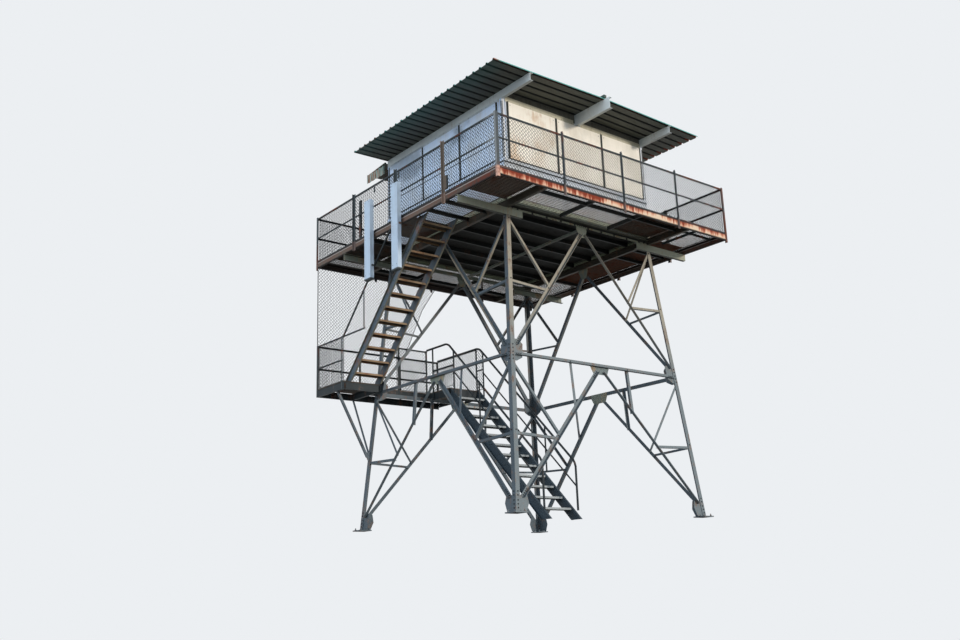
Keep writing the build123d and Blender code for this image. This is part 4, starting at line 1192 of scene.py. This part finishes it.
@dataclass
class Fences:
    """Chain link on the four deck sides, the landing's guards, the handrails and the tall screen.

    Attributes:
        deck_plane: Distance of the deck fences from the centre.
        deck_span: Bottom and top of the deck fences above the deck.
        landing_span: The same for the landing's fences, above the landing.
        screen: Corners of the tall screen, by distance along the back and height above the deck.
        screen_edge: Diameter of the wire round the screen.
    """

    deck_plane: float = DECK_HALF - 0.046
    deck_span: Pair = (0.03, 1.08)
    landing_span: Pair = (0.02, 1.0)
    screen: tuple[Pair, ...] = (
        (-3.35, -2.05), (-0.98, -2.05), (-0.79, -1.69), (-0.375, -0.74), (0.03, -0.145), (-3.35, -0.145),
    )
    screen_edge: float = 0.018

    @staticmethod
    def rectangle(start: float, end: float, low: float, high: float) -> tuple[Pair, ...]:
        """Corners of an upright rectangle along a side."""
        return (start, low), (end, low), (end, high), (start, high)

    def panels(self) -> list[ChainLink]:
        """Describe all fences.

        Returns:
            Each with its outline, plane and side.
        """
        edge = self.deck_plane
        low, high = (DECK_Z + rise for rise in self.deck_span)
        outline = self.rectangle(-edge, edge, low, high)
        panels = [ChainLink(f"fence_{side.name.lower()}", outline, -edge, side) for side in Side]
        low, high = (LANDING_Z + rise for rise in self.landing_span)
        sloped = ((-3.25, low), (-1.465, low), (-1.465, high - 0.1), (-1.62, high), (-3.25, high))
        for name, outline, plane, side in (
            ("fence_landing_back", self.rectangle(-3.31, 0.04, low, high), 3.254, Side.FRONT),
            ("fence_landing_left", self.rectangle(-3.25, -2.19, low, high), -3.307, Side.LEFT),
            ("fence_landing_front", self.rectangle(-1.71, -0.86, low, high), 2.484, Side.FRONT),
            ("fence_stair_right", sloped, 0.048, Side.LEFT),
            ("fence_stair_left", self.rectangle(-2.2, -1.39, low, low + 0.45), -0.876, Side.LEFT),
        ):
            panels.append(ChainLink(name, outline, plane, side))
        screen = [(along, DECK_Z + rise) for along, rise in self.screen]
        panels.append(ChainLink("screen_back", screen, 3.29, edge=self.screen_edge))
        return panels

    def build(self, shop: Shop) -> None:
        """Weave each fence."""
        for panel in self.panels():
            panel.build(shop)


@dataclass
class DeckEdge:
    """What stands on the deck's edge: the corner posts' second legs, toe angles, bolts and two weights.

    Attributes:
        leg_wide: Width of the corner angles' second leg.
        post_thick: Its thickness.
        post_low: Foot of the posts below the deck.
        corner_top: Top of the corner posts above it.
        toe_rise: Height of the toe angle.
        toe_wide: How far it lies in over the plates.
        rivets: Heights of the post bolts below the deck.
        weight: Radii of a weight and its hanger, with their heights below the rail.
        weight_places: Where the weights hang along the left side.
        rail_top: Height that they hang from, above the deck.
    """

    leg_wide: float = 0.045
    post_thick: float = 0.007
    post_low: float = 0.205
    corner_top: float = 1.112
    toe_rise: float = 0.027
    toe_wide: float = 0.03
    rivets: Pair = (-0.045, -0.115)
    weight: tuple[Pair, ...] = (
        (0.003, 0.0), (0.003, -0.05), (0.011, -0.06), (0.0175, -0.085), (0.0175, -0.19), (0.01, -0.205),
    )
    weight_places: Pair = (0.805, -0.134)
    rail_top: float = 1.09

    def build(self, shop: Shop) -> None:
        """Build the four sides and the weights.

        Args:
            shop: Where the finish comes from.
        """
        edge, face = -DECK_HALF, -DECK_HALF - self.post_thick
        legs, toes, bolts, weights = MeshMaker(), MeshMaker(), MeshMaker(), MeshMaker()
        for side in Side:
            legs.side = toes.side = bolts.side = side
            foot = (face, edge, DECK_Z - self.post_low)
            legs.box(foot, (edge, edge + self.leg_wide, DECK_Z + self.corner_top))
            start, end = edge + 0.006, -edge - 0.006
            toes.box((start, edge + 0.001, DECK_Z), (end, edge + 0.006, DECK_Z + self.toe_rise))
            toes.box((start, edge + 0.006, DECK_Z), (end, edge + self.toe_wide, DECK_Z + 0.004))
            for z in (DECK_Z + rise for rise in self.rivets):
                for x in (edge + 0.025, edge / 2 + 0.036, 0.036, -edge / 2 + 0.036):
                    bolts.bolt((x, face, z), (0, -1, 0))
                bolts.bolt((face, edge + 0.03, z), (-1, 0, 0))
        for y in self.weight_places:
            weights.turned((edge - 0.012, y, DECK_Z + self.rail_top), (0, 0, 1), self.weight)
        legs.build("corner_post_legs", shop, Slot.DARK_STEEL)
        toes.build("toe_angles", shop, Slot.DARK_STEEL)
        bolts.build("rail_post_bolts", shop, Slot.DARK_STEEL)
        weights.build("rail_weights", shop, Slot.DARK_STEEL)


@dataclass
class CabTrim:
    """Cover strips, jamb boards, fascia boards and small bolts on the cab's four sides.

    Attributes:
        shutter_face: Outer face of the shutters.
        shutter_end: End of the last shutter along a side.
        back_end: The same along the back, beside the door.
        mullion_half: Half width of a mullion.
        strip_half: Half width of a cover strip.
        strip_out: How far the strips stand before the shutters.
        strip_span: Foot and top of the strips above the deck.
        joint: Heights of the shutters' cross joint.
        gap_shade_strip: Start and end of the dark strip over an end shutter's edge, painted shade of the gap
            beside it.
        jamb: Start and end of the pale board beside it.
        corner: Middle of the strips at the cab's corners.
        corner_half: Half their width.
        foot_end: End of the strip at the shutters' foot.
        back_foot_end: The same along the back, beside the door.
        drip: Foot and top of the ledge strip below the shutters, from the strips' foot.
        drip_past: How far it runs past that strip.
        board_out: How far the jamb and fascia boards stand before the wall.
        boards: Heights of the fascia board on the wall's head.
        board_end: Its end along a side.
        beam_gap: Ends of the gap that the fascia leaves for the middle beam.
        bolt_start: First bolt along a side.
        sill_pitch: Spacing of the bolts along the sill.
        board_pitch: Spacing of the bolts along the fascia.
        beam_half: Half width of the stretch at the middle beam that has no bolts.
        sill_bolts: Height of the bolts along the sill.
        board_bolts: Height of the bolts along the fascia.
        shutter_bolts: Heights of the bolts by a shutter's edges.
    """

    shutter_face: float = CAB_HALF + 0.040
    shutter_end: float = 1.987
    back_end: float = 1.115
    mullion_half: float = 0.0275
    strip_half: float = 0.0265
    strip_out: float = 0.007
    strip_span: Pair = (0.929, 2.204)
    joint: Pair = (1.318, 1.332)
    gap_shade_strip: Pair = (1.985, 2.017)
    jamb: Pair = (2.017, 2.050)
    corner: float = 2.118
    corner_half: float = 0.010
    foot_end: float = 1.99
    back_foot_end: float = 1.12
    drip: Pair = (-0.083, -0.068)
    drip_past: float = 0.14
    board_out: float = 0.018
    boards: Pair = (2.206, 2.268)
    board_end: float = 2.05
    beam_gap: Pair = (-0.08, 0.115)
    bolt_start: float = -1.95
    sill_pitch: float = 0.25
    board_pitch: float = 0.3
    beam_half: float = 0.13
    sill_bolts: float = 0.835
    board_bolts: float = 2.240
    shutter_bolts: tuple[float, ...] = (0.985, 1.27, 1.38, 2.14)

    def mullions(self, side: Side) -> tuple[float, ...]:
        """Places of the mullions along a side."""
        return (-0.450,) if side is Side.BACK else (-0.638, 0.735)

    def ends(self, side: Side, span: Pair) -> list[Pair]:
        """The same span at both ends of a side; the back's right end is the door's."""
        return [(-span[1], -span[0])] if side is Side.BACK else [(-span[1], -span[0]), span]

    def spans(self, side: Side) -> list[Pair]:
        """Find the shutters between the mullions.

        Args:
            side: The side that they are on.

        Returns:
            Start and end of each shutter along the side.
        """
        edges = [-self.shutter_end]
        for x in self.mullions(side):
            edges += [x - self.mullion_half, x + self.mullion_half]
        edges.append(self.back_end if side is Side.BACK else self.shutter_end)
        return list(zip(edges[0::2], edges[1::2]))

    def strips(self, maker: MeshMaker, side: Side) -> None:
        """Cover the mullions, jambs, corners, the shutters' feet and their cross joints; the strips by the
        jambs are dark as painted shade of the gap beside the end shutters.

        Args:
            maker: Mesh that takes the strips.
            side: The side that they are on.
        """
        face, wall = -self.shutter_face - self.strip_out, -CAB_HALF
        low, high = (DECK_Z + rise for rise in self.strip_span)
        for x in self.mullions(side):
            maker.box((x - self.strip_half, face, low), (x + self.strip_half, wall, high))
        # painted shade: a dark strip where the gap beside each end shutter lies in shade
        for x0, x1 in self.ends(side, self.gap_shade_strip):
            maker.box((x0, face, low), (x1, wall, high))
        for x in (-self.corner, self.corner):
            maker.box((x - self.corner_half, wall - 0.004, low), (x + self.corner_half, wall, high))
        start, end = -self.foot_end, self.back_foot_end if side is Side.BACK else self.foot_end
        maker.box((start, face, low - 0.006), (end, face + 0.006, low + 0.008))
        foot, top = (low + rise for rise in self.drip)
        maker.box((start - self.drip_past, wall - 0.012, foot), (end + self.drip_past, wall, top))
        low, high = (DECK_Z + rise for rise in self.joint)
        for x0, x1 in self.spans(side):
            maker.box((x0 + 0.01, face + 0.002, low), (x1 - 0.01, face + 0.0065, high))

    def jambs(self, maker: MeshMaker, side: Side) -> None:
        """Put pale boards beside the end shutters.

        Args:
            maker: Mesh that takes the boards.
            side: The side that they are on.
        """
        low, high = (DECK_Z + rise for rise in self.strip_span)
        for x0, x1 in self.ends(side, self.jamb):
            maker.box((x0, -CAB_HALF - self.board_out, low), (x1, -CAB_HALF, high))

    def fascia(self, maker: MeshMaker, side: Side) -> None:
        """Put boards under the eaves, broken where the middle beam passes.

        Args:
            maker: Mesh that takes the boards.
            side: The side that they are on.
        """
        wall, face, end = -CAB_HALF, -CAB_HALF - self.board_out, self.board_end
        low, high = (DECK_Z + rise for rise in self.boards)
        broken = side in (Side.FRONT, Side.BACK)
        runs = ((-end, self.beam_gap[0]), (self.beam_gap[1], end)) if broken else ((-end, end),)
        for x0, x1 in runs:
            maker.box((x0, face, low), (x1, wall, high))
            maker.box((x0, face - 0.006, low), (x1, face, low + 0.008))
            if broken:
                maker.box((x0, wall - 0.008, high + 0.004), (x1, wall + 0.010, DECK_Z + 2.33))

    def fixings(self, maker: MeshMaker, side: Side) -> None:
        """Put bolts along the sill and the fascia and at the shutters' corners.

        Args:
            maker: Mesh that takes the bolts.
            side: The side that they are on.
        """
        out = (0, -1, 0)
        for x in np.arange(self.bolt_start, 1.05 if side is Side.BACK else -self.bolt_start, self.sill_pitch):
            maker.bolt((x, -CAB_HALF, DECK_Z + self.sill_bolts), out, 0.008, 0.005)
        for x in np.arange(self.bolt_start, 2.0, self.board_pitch):
            if abs(x) > self.beam_half:
                place = (x, -CAB_HALF - self.board_out, DECK_Z + self.board_bolts)
                maker.bolt(place, out, 0.007, 0.004)
        for x0, x1 in self.spans(side):
            for x in (x0 + 0.05, x1 - 0.05):
                for rise in self.shutter_bolts:
                    maker.bolt((x, -self.shutter_face, DECK_Z + rise), out, 0.008, 0.004)

    def build(self, shop: Shop) -> None:
        """Build the trim of all sides.

        Args:
            shop: Where the finishes come from.
        """
        for name, lay, slot, finish in (
            ("cover_strips", self.strips, Slot.DARK_TRIM, None),
            ("jamb_boards", self.jambs, Slot.WALL_PANEL, None),
            ("fascia_boards", self.fascia, Slot.WALL_PANEL, "fascia_board_paint"),
            ("cab_bolts", self.fixings, Slot.DARK_STEEL, None),
        ):
            maker = MeshMaker()
            for side in Side:
                maker.side = side
                lay(maker, side)
            maker.build(name, shop, slot, finish)


@dataclass
class DoorFittings:
    """Raised frames, kick plate, lever, hinges and threshold of the cab's door.

    Attributes:
        face: Outer face of the door from the centre.
        left: Its edge with the lever, along the back.
        right: Its hinged edge.
        fields: Heights of the two raised fields above the deck.
        margin: Distance of the fields from the door's edges.
        moulding: Width of the mouldings.
        kick_plate: Heights of the kick plate.
        threshold: Heights of the threshold.
        lever: Height of the lever.
        hinges: Heights of the hinges.
    """

    face: float = CAB_HALF - 0.025
    left: float = 1.18
    right: float = 2.039
    fields: tuple[Pair, ...] = ((1.22, 2.06), (0.36, 1.06))
    margin: float = 0.13
    moulding: float = 0.028
    kick_plate: Pair = (0.14, 0.31)
    threshold: Pair = (0.088, 0.113)
    lever: float = 1.14
    hinges: tuple[float, ...] = (0.38, 1.15, 1.95)

    def frame(self, maker: MeshMaker, x0: float, x1: float, z0: float, z1: float) -> None:
        """Put four mouldings round a raised field.

        Args:
            maker: Mesh that takes them.
            x0: Left edge.
            x1: Right edge.
            z0: Foot.
            z1: Head.
        """
        y0, y1, wide = -self.face - 0.010, -self.face, self.moulding
        maker.box((x0, y0, z0), (x1, y1, z0 + wide))
        maker.box((x0, y0, z1 - wide), (x1, y1, z1))
        maker.box((x0, y0, z0 + wide), (x0 + wide, y1, z1 - wide))
        maker.box((x1 - wide, y0, z0 + wide), (x1, y1, z1 - wide))
        maker.box((x0 + 0.06, y1 - 0.006, z0 + 0.06), (x1 - 0.06, y1, z1 - 0.06))

    def ironwork(self, maker: MeshMaker) -> None:
        """Put on the kick plate, threshold, lever and hinges.

        Args:
            maker: Mesh that takes them.
        """
        y = -self.face
        for (low, high), inset, out in ((self.kick_plate, 0.03, 0.003), (self.threshold, 0.0, 0.05)):
            maker.box((self.left + inset, y - out, DECK_Z + low), (self.right - inset, y, DECK_Z + high))
        x, z = self.left + 0.065, DECK_Z + self.lever
        rose = ((0.027, 0.0), (0.027, 0.006), (0.011, 0.009), (0.011, 0.05))
        maker.turned((x, y, z), (0, -1, 0), rose)
        grip = ((0.006, -0.012), (0.010, -0.005), (0.010, 0.09), (0.006, 0.1))
        maker.turned((x, y - 0.045, z), (1, 0, 0), grip)
        barrel = ((0.006, -0.006), (0.010, 0.0), (0.010, 0.09), (0.006, 0.096))
        for z in (DECK_Z + rise for rise in self.hinges):
            maker.turned((self.right - 0.006, y - 0.010, z), (0, 0, 1), barrel)
            maker.box((self.right - 0.055, y - 0.004, z), (self.right - 0.012, y, z + 0.09))

    def build(self, shop: Shop) -> None:
        """Build the door's trim and its ironwork.

        Args:
            shop: Where the finishes come from.
        """
        trim, iron = MeshMaker(Side.BACK), MeshMaker(Side.BACK)
        for low, high in self.fields:
            start, end = self.left + self.margin, self.right - self.margin
            self.frame(trim, start, end, DECK_Z + low, DECK_Z + high)
        self.ironwork(iron)
        trim.build("door_mouldings", shop, Slot.SHUTTER_PANEL)
        iron.build("door_ironwork", shop, Slot.DARK_STEEL)


@dataclass
class TowerFace:
    """Bolts on one battered side of the tower, in its own plane: u across, v up the batter.

    Attributes:
        maker: Mesh that takes the bolts.
        top: Where the upper braces meet.
        ring: Where they start, at the legs by the ring.
        middle: Where the lower braces meet.
        base: Where they start, by the legs' feet.
        leg_gauge: Distance of the bolts on the legs from the heel.
        brace_gauge: The same where a redundant brace meets the leg.
        sunk: How far the braces' flanges lie behind the legs'.
        leg_flange: Width of the leg's flange and of the space that a brace's end keeps from it.
        brace_half: Half width of a brace.
        first: Distance of a brace's first bolt from its end.
        row: Places of the bolts that follow it, from the first.
        ring_rises: Heights of the leg's bolts from the ring.
        base_rises: The same from the lower braces' feet.
        ring_bolts: Places of the bolts at the ring strut's end.
        hanger_bolt: Place of the bolt on the ring strut by its hanger.
        top_bolt: Height of the uppermost bolt on the leg.
    """

    maker: MeshMaker
    top: Pair = (0.0, 6.02 * SLANT)
    ring: Pair = (-2.3727, RING_Z * SLANT)
    middle: Pair = (0.0, (RING_Z - 0.02) * SLANT)
    base: Pair = (-2.6016, 0.132 * SLANT)
    leg_gauge: float = 0.051
    brace_gauge: float = 0.062
    sunk: float = -0.003
    leg_flange: float = 0.124
    brace_half: float = 0.038
    first: float = 0.035
    row: tuple[float, ...] = (0.0, 0.05, 0.1, 0.15)
    ring_rises: tuple[float, ...] = (-0.115, -0.045, 0.025, 0.105, 0.175)
    base_rises: tuple[float, ...] = (-0.04, 0.03, 0.1, 0.19, 0.26)
    ring_bolts: tuple[float, ...] = (-2.2257, -2.1757, -2.1257)
    hanger_bolt: float = -0.8186
    top_bolt: float = 5.89 * SLANT

    def bolt(self, u: float, v: float, lift: float = 0.0, radius: float = 0.014) -> None:
        """Put a bolt and its mirror image on the face.

        Args:
            u: Distance from the middle.
            v: Distance up the batter.
            lift: How far it stands before the face.
            radius: From its axis to a corner.
        """
        y = -LEG_BASE_HALF + v * BATTER / SLANT - lift / SLANT
        z = v / SLANT + lift * BATTER / SLANT
        for across in sorted({u, -u}):
            self.maker.bolt((across, y, z), (0, -1 / SLANT, BATTER / SLANT), radius, 0.012)

    def on_leg(self, v: float, gauge: float) -> None:
        """Put a bolt on the leg at a distance from its heel."""
        self.bolt(BATTER * v / SLANT - LEG_BASE_HALF + gauge, v)

    def on_bar(self, start: Pair, end: Pair, first: float) -> None:
        """Put a row of bolts along a bar's flange.

        Args:
            start: The end of the bar that the row is near.
            end: The other end.
            first: Distance of the first bolt from the start.
        """
        length = math.hypot(end[0] - start[0], end[1] - start[1])
        for share in ((first + step) / length for step in self.row):
            u, v = (a + (b - a) * share for a, b in zip(start, end))
            self.bolt(u, v, self.sunk)

    def joints(self) -> None:
        """Put on the bolts of all joints of one side."""
        for (_, v), rises in ((self.ring, self.ring_rises), (self.base, self.base_rises)):
            for rise in rises:
                self.on_leg(v + rise, self.leg_gauge)
        for low, high, gap, share in (
            (self.ring, self.top, 0.095, 0.5),
            (self.base, self.middle, 0.135, 0.47),
        ):
            across, up = high[0] - low[0], high[1] - low[1]
            length = math.hypot(across, up)
            cut = (self.leg_flange + self.brace_half * up / length) / (across / length)
            self.on_bar(low, high, cut + self.first)
            self.on_bar(high, low, gap + self.first)
            v = low[1] + up * share
            self.on_leg(v + 0.05, self.brace_gauge)
            self.bolt(low[0] + across * share, v, self.sunk)
        for u in self.ring_bolts:
            self.bolt(u, self.ring[1], self.sunk)
        self.bolt(self.hanger_bolt, self.ring[1], self.sunk, 0.012)
        self.on_leg(self.top_bolt, self.brace_gauge)


@dataclass
class TowerBolts:
    """Bolts of the tower's joints, top struts and anchors, and dark strips on the top struts: a long one that
    paints the shade on their upper part, with short dark pads below it.

    Attributes:
        strut_face: Outer face of the top struts.
        strut_bolts: Places of the bolts along them.
        strut_bolt_z: Height of these bolts.
        shade_strip: Foot and head of the long dark strip, painted shade on the struts' upper part.
        pad_half: Half width of the short dark pads below it.
        pad_foot: Their foot.
        plate: Distance of a base plate's middle from the centre.
        anchor: Distance of an anchor from the plate's middle.
        plate_top: Thickness of the plate.
    """

    strut_face: float = -2.1049
    strut_bolts: tuple[float, ...] = (-1.95, -0.12, -0.06, 0.0, 0.06, 0.12, 1.95)
    strut_bolt_z: float = 6.128
    shade_strip: Pair = (6.140, 6.185)
    pad_half: float = 0.02
    pad_foot: float = 6.098
    plate: float = 2.5916
    anchor: float = 0.105
    plate_top: float = 0.022

    def anchors(self, maker: MeshMaker) -> None:
        """Put a washer, a nut and a stud's end on each anchor of one corner.

        Args:
            maker: Mesh that takes them.
        """
        for x in (-self.plate - self.anchor, -self.plate + self.anchor):
            for y in (-self.plate - self.anchor, -self.plate + self.anchor):
                maker.turned((x, y, self.plate_top), (0, 0, 1), ((0.026, 0.0), (0.026, 0.003)))
                maker.bolt((x, y, self.plate_top + 0.003), (0, 0, 1), 0.021, 0.018)
                stud = ((0.010, 0.018), (0.010, 0.044), (0.008, 0.047))
                maker.turned((x, y, self.plate_top), (0, 0, 1), stud)

    def build(self, shop: Shop) -> None:
        """Bolt the four sides together and hold the plates down.

        Args:
            shop: Where the finishes come from.
        """
        bolts, shade_strips, nuts = MeshMaker(), MeshMaker(), MeshMaker()
        for side in Side:
            bolts.side = shade_strips.side = nuts.side = side
            TowerFace(bolts).joints()
            self.anchors(nuts)
            if side in (Side.FRONT, Side.BACK):
                face = self.strut_face
                for x in self.strut_bolts:
                    bolts.bolt((x, face - 0.004, self.strut_bolt_z), (0, -1, 0))
                # a long dark strip over each strut's upper part stands in for its shade
                low, high = self.shade_strip
                shade_strips.box((-2.05, face - 0.004, low), (2.05, face, high))
                for x in np.arange(-1.8, 1.9, 0.4):
                    foot = (x - self.pad_half, face - 0.006, self.pad_foot)
                    shade_strips.box(foot, (x + self.pad_half, face, low))
        bolts.build("tower_bolts", shop, Slot.DARK_STEEL)
        shade_strips.build("strut_shade_strips", shop, Slot.DARK_TRIM, "joint_shadow_paint")
        nuts.build("anchor_nuts", shop, Slot.GALVANISED)


@dataclass(frozen=True)
class Flight:
    """Treads of one stair, as the bolts on its stringers need them.

    Attributes:
        faces: Outer faces of the two stringers.
        first: Place along the stair and height of the first tread.
        step: What the next tread adds to both.
        treads: Their number.
    """

    faces: Pair
    first: Pair
    step: Pair
    treads: int = 12


@dataclass
class StairFixings:
    """Tread bolts on the stringers of both stairs.

    Attributes:
        flights: The upper and the lower stair.
        gauge: Distance of a bolt from the tread's middle.
        drop: Distance of the bolts below the tread's top.
    """

    flights: tuple[Flight, ...] = (
        Flight((-3.182, -2.453), (-0.640, 6.025), (0.241, -0.2415)),
        Flight((-0.807, -0.013), (1.62 - 0.6 * 0.24462, LANDING_Z - 0.24538), (-0.24462, -0.24538)),
    )
    gauge: float = 0.04
    drop: float = 0.02

    def build(self, shop: Shop) -> None:
        """Put two bolts by each end of each tread.

        Args:
            shop: Where the finish comes from.
        """
        maker = MeshMaker()
        for flight in self.flights:
            for k in range(flight.treads):
                y, z = (first + step * k for first, step in zip(flight.first, flight.step))
                for x, out in zip(flight.faces, (-1, 1)):
                    for place in (y - self.gauge, y + self.gauge):
                        maker.bolt((x, place, z - self.drop), (out, 0, 0), 0.009, 0.007)
        maker.build("stair_bolts", shop, Slot.DARK_STEEL)


@dataclass
class PanelFixings:
    """Clips, feet and face bolts of the two white panels on the railing.

    Attributes:
        face: Outer face of the panels.
        back: Their inner face.
        half: Half their width.
        gauge: Distance of a bolt from a panel's middle.
        panels: Middle along the side, foot and head above the deck, of each panel.
        clips: Place along the side and height above the deck of each clip.
        clip_span: Outer and inner face of a clip.
        clip_wide: Its width.
        clip_half: Half its height.
    """

    face: float = -3.5
    back: float = -3.405
    half: float = 0.115
    gauge: float = 0.075
    panels: tuple[tuple[float, float, float], ...] = ((0.9, -1.08, 0.70), (-0.15, -1.14, 0.74))
    clips: tuple[Pair, ...] = ((-0.265, -0.175), (0.785, -0.8))
    clip_span: Pair = (-3.47, -3.41)
    clip_wide: float = 0.022
    clip_half: float = 0.02

    def build(self, shop: Shop) -> None:
        """Fix both panels.

        Args:
            shop: Where the finish comes from.
        """
        maker = MeshMaker()
        for y, low, high in self.panels:
            z0, z1 = DECK_Z + low, DECK_Z + high
            foot = (self.face + 0.002, y - self.half + 0.004, z0 - 0.014)
            maker.box(foot, (self.back, y + self.half - 0.004, z0))
            for z in (z1 - 0.05, z0 + 0.08, (z0 + z1) / 2):
                for place in (y - self.gauge, y + self.gauge):
                    maker.bolt((self.face, place, z), (-1, 0, 0), 0.008, 0.003)
        outer, inner = self.clip_span
        for y, rise in self.clips:
            low, high = DECK_Z + rise - self.clip_half, DECK_Z + rise + self.clip_half
            maker.box((outer, y - self.clip_wide, low), (inner, y, high))
        maker.build("panel_fixings", shop, Slot.DARK_STEEL)


@dataclass
class RoofScrews:
    """Screws through the roof's ribs into its beams and along its eaves.

    Attributes:
        ribs: Number of ribs.
        rows: Places of the rows of screws, across the ridge.
        eave_z: Height of the pans' underside at the eaves.
        rise: Height gained at the ridge.
        half: Half the roof's width.
        rib: Height of a rib with its sheet.
    """

    ribs: int = 25
    rows: tuple[float, ...] = (-2.95, -2.09, -0.6, 0.6, 2.09, 2.95)
    eave_z: float = 8.675
    rise: float = 0.05
    half: float = 3.066
    rib: float = 0.032

    def build(self, shop: Shop) -> None:
        """Drive the screws.

        Args:
            shop: Where the finish comes from.
        """
        maker = MeshMaker()
        for k in range(self.ribs):
            for x in self.rows:
                z = self.eave_z + self.rise * (1 - abs(x) / self.half) + self.rib
                maker.bolt((x, RIB_FIRST + RIB_PITCH * k, z), (0, 0, 1), 0.010, 0.006)
        maker.build("roof_screws", shop, Slot.DARK_STEEL)


@dataclass
class Studio:
    """Floor, lights, pale surround and the camera at the photograph's place.

    Attributes:
        position: Camera place in the part's frame.
        yaw: Heading from +Y toward +X.
        pitch: Upward tilt.
        roll: Turn about the line of sight.
        frame_width: Width of the film.
        lens: Focal length on it, from 984.99 pixels in a picture 960 wide.
        sun: Strength of the key light.
        fill: Strength of the even light.
        side: Strength of the cool soft light from the left.
        floor_reach: Radius of the floor.
    """

    position: Point = (-14.203, -16.161, -1.222)
    yaw: float = 0.6802
    pitch: float = 0.2629
    roll: float = -0.035
    frame_width: float = 36.0
    lens: float = 984.99 / 960 * 36
    sun: float = 1.95
    fill: float = 1.05
    side: float = 1.35
    floor_reach: float = 60.0

    def camera(self) -> None:
        """Place the scene's camera."""
        data = bpy.data.cameras.new("photo_camera")
        data.lens = self.lens
        data.sensor_width = self.frame_width
        camera = placed("photo_camera", data)
        level = math.cos(self.pitch)
        ahead = Vector((math.sin(self.yaw) * level, math.cos(self.yaw) * level, math.sin(self.pitch)))
        right = Vector((math.cos(self.yaw), -math.sin(self.yaw), 0.0))
        up = right.cross(ahead)
        side = right * math.cos(self.roll) + up * math.sin(self.roll)
        rise = up * math.cos(self.roll) - right * math.sin(self.roll)
        place = Matrix((side, rise, -ahead)).transposed().to_4x4()
        place.translation = self.position
        camera.matrix_world = place
        bpy.context.scene.camera = camera

    def lamp(self, name: str, strength: float, softness: float, colour: Colour, way: Point) -> None:
        """Add a lamp that shines from far away.

        Args:
            name: The lamp's name.
            strength: Its strength.
            softness: The angle that it fills.
            colour: Its linear colour.
            way: Direction of its light.
        """
        data = bpy.data.lights.new(name, "SUN")
        data.energy = strength
        data.angle = softness
        data.color = colour
        placed(name, data).rotation_euler = Vector(way).to_track_quat("-Z", "Y").to_euler()

    def light(self) -> None:
        """Light the front low and warm, the left softly and cool, and all sides evenly."""
        self.lamp("key", self.sun, 0.12, (1.0, 0.95, 0.88), (-0.35, 0.92, -0.17))
        self.lamp("sky_side", self.side, 1.2, (0.78, 0.88, 1.0), (0.96, 0.1, -0.26))
        world = bpy.data.worlds.new("surround")
        world.use_nodes = True
        board = NodeBoard(world.node_tree)
        even = {"Color": (0.82, 0.91, 1.0), "Strength": self.fill}
        fill = board.node("ShaderNodeBackground", {}, even)
        pale = board.node("ShaderNodeBackground", {}, {"Color": paint(236, 239, 242), "Strength": 1.0})
        both = board.node("ShaderNodeMixShader", {}, {0: board.seen(), 1: fill, 2: pale})
        board.node("ShaderNodeOutputWorld", {}, {"Surface": both})
        bpy.context.scene.world = world

    def floor(self) -> None:
        """Lay a pale floor that is open from below, where the camera stands."""
        nodes = Recipe("studio_floor")
        nodes.feed("Base Color", nodes.mix(nodes.seen(), paint(92, 90, 84), paint(216, 211, 204)))
        nodes.feed("Roughness", 0.9)
        below = nodes.node("ShaderNodeNewGeometry", {}, {}, "Backfacing")
        clear = nodes.node("ShaderNodeBsdfTransparent", {}, {})
        nodes.shader = nodes.node("ShaderNodeMixShader", {}, {0: below, 1: nodes.shader, 2: clear})
        mesh = bpy.data.meshes.new("studio_floor")
        turns = np.arange(64) * math.tau / 64
        rim = [(self.floor_reach * math.cos(a), self.floor_reach * math.sin(a), 0.0) for a in turns]
        mesh.from_pydata(rim, [], [list(range(64))])
        mesh.materials.append(nodes.finish())
        floor = placed("studio_floor", mesh)

    def build(self) -> None:
        """Set up the whole studio."""
        self.camera()
        self.light()
        self.floor()
        bpy.context.scene.view_settings.view_transform = "Standard"
        LOG.info("studio ready")


def main() -> None:
    """Build the studio, dress the frame and add each piece."""
    logging.basicConfig(level=logging.INFO, format="%(name)s %(message)s")
    Studio().build()
    shop = Shop()
    shop.dress_frame()
    for kind in (
        Gratings, Fences, DeckEdge, CabTrim, DoorFittings, TowerBolts, StairFixings, PanelFixings, RoofScrews,
    ):
        kind().build(shop)
        LOG.info("%s built", kind.__name__)


if __name__ == "__main__":
    main()
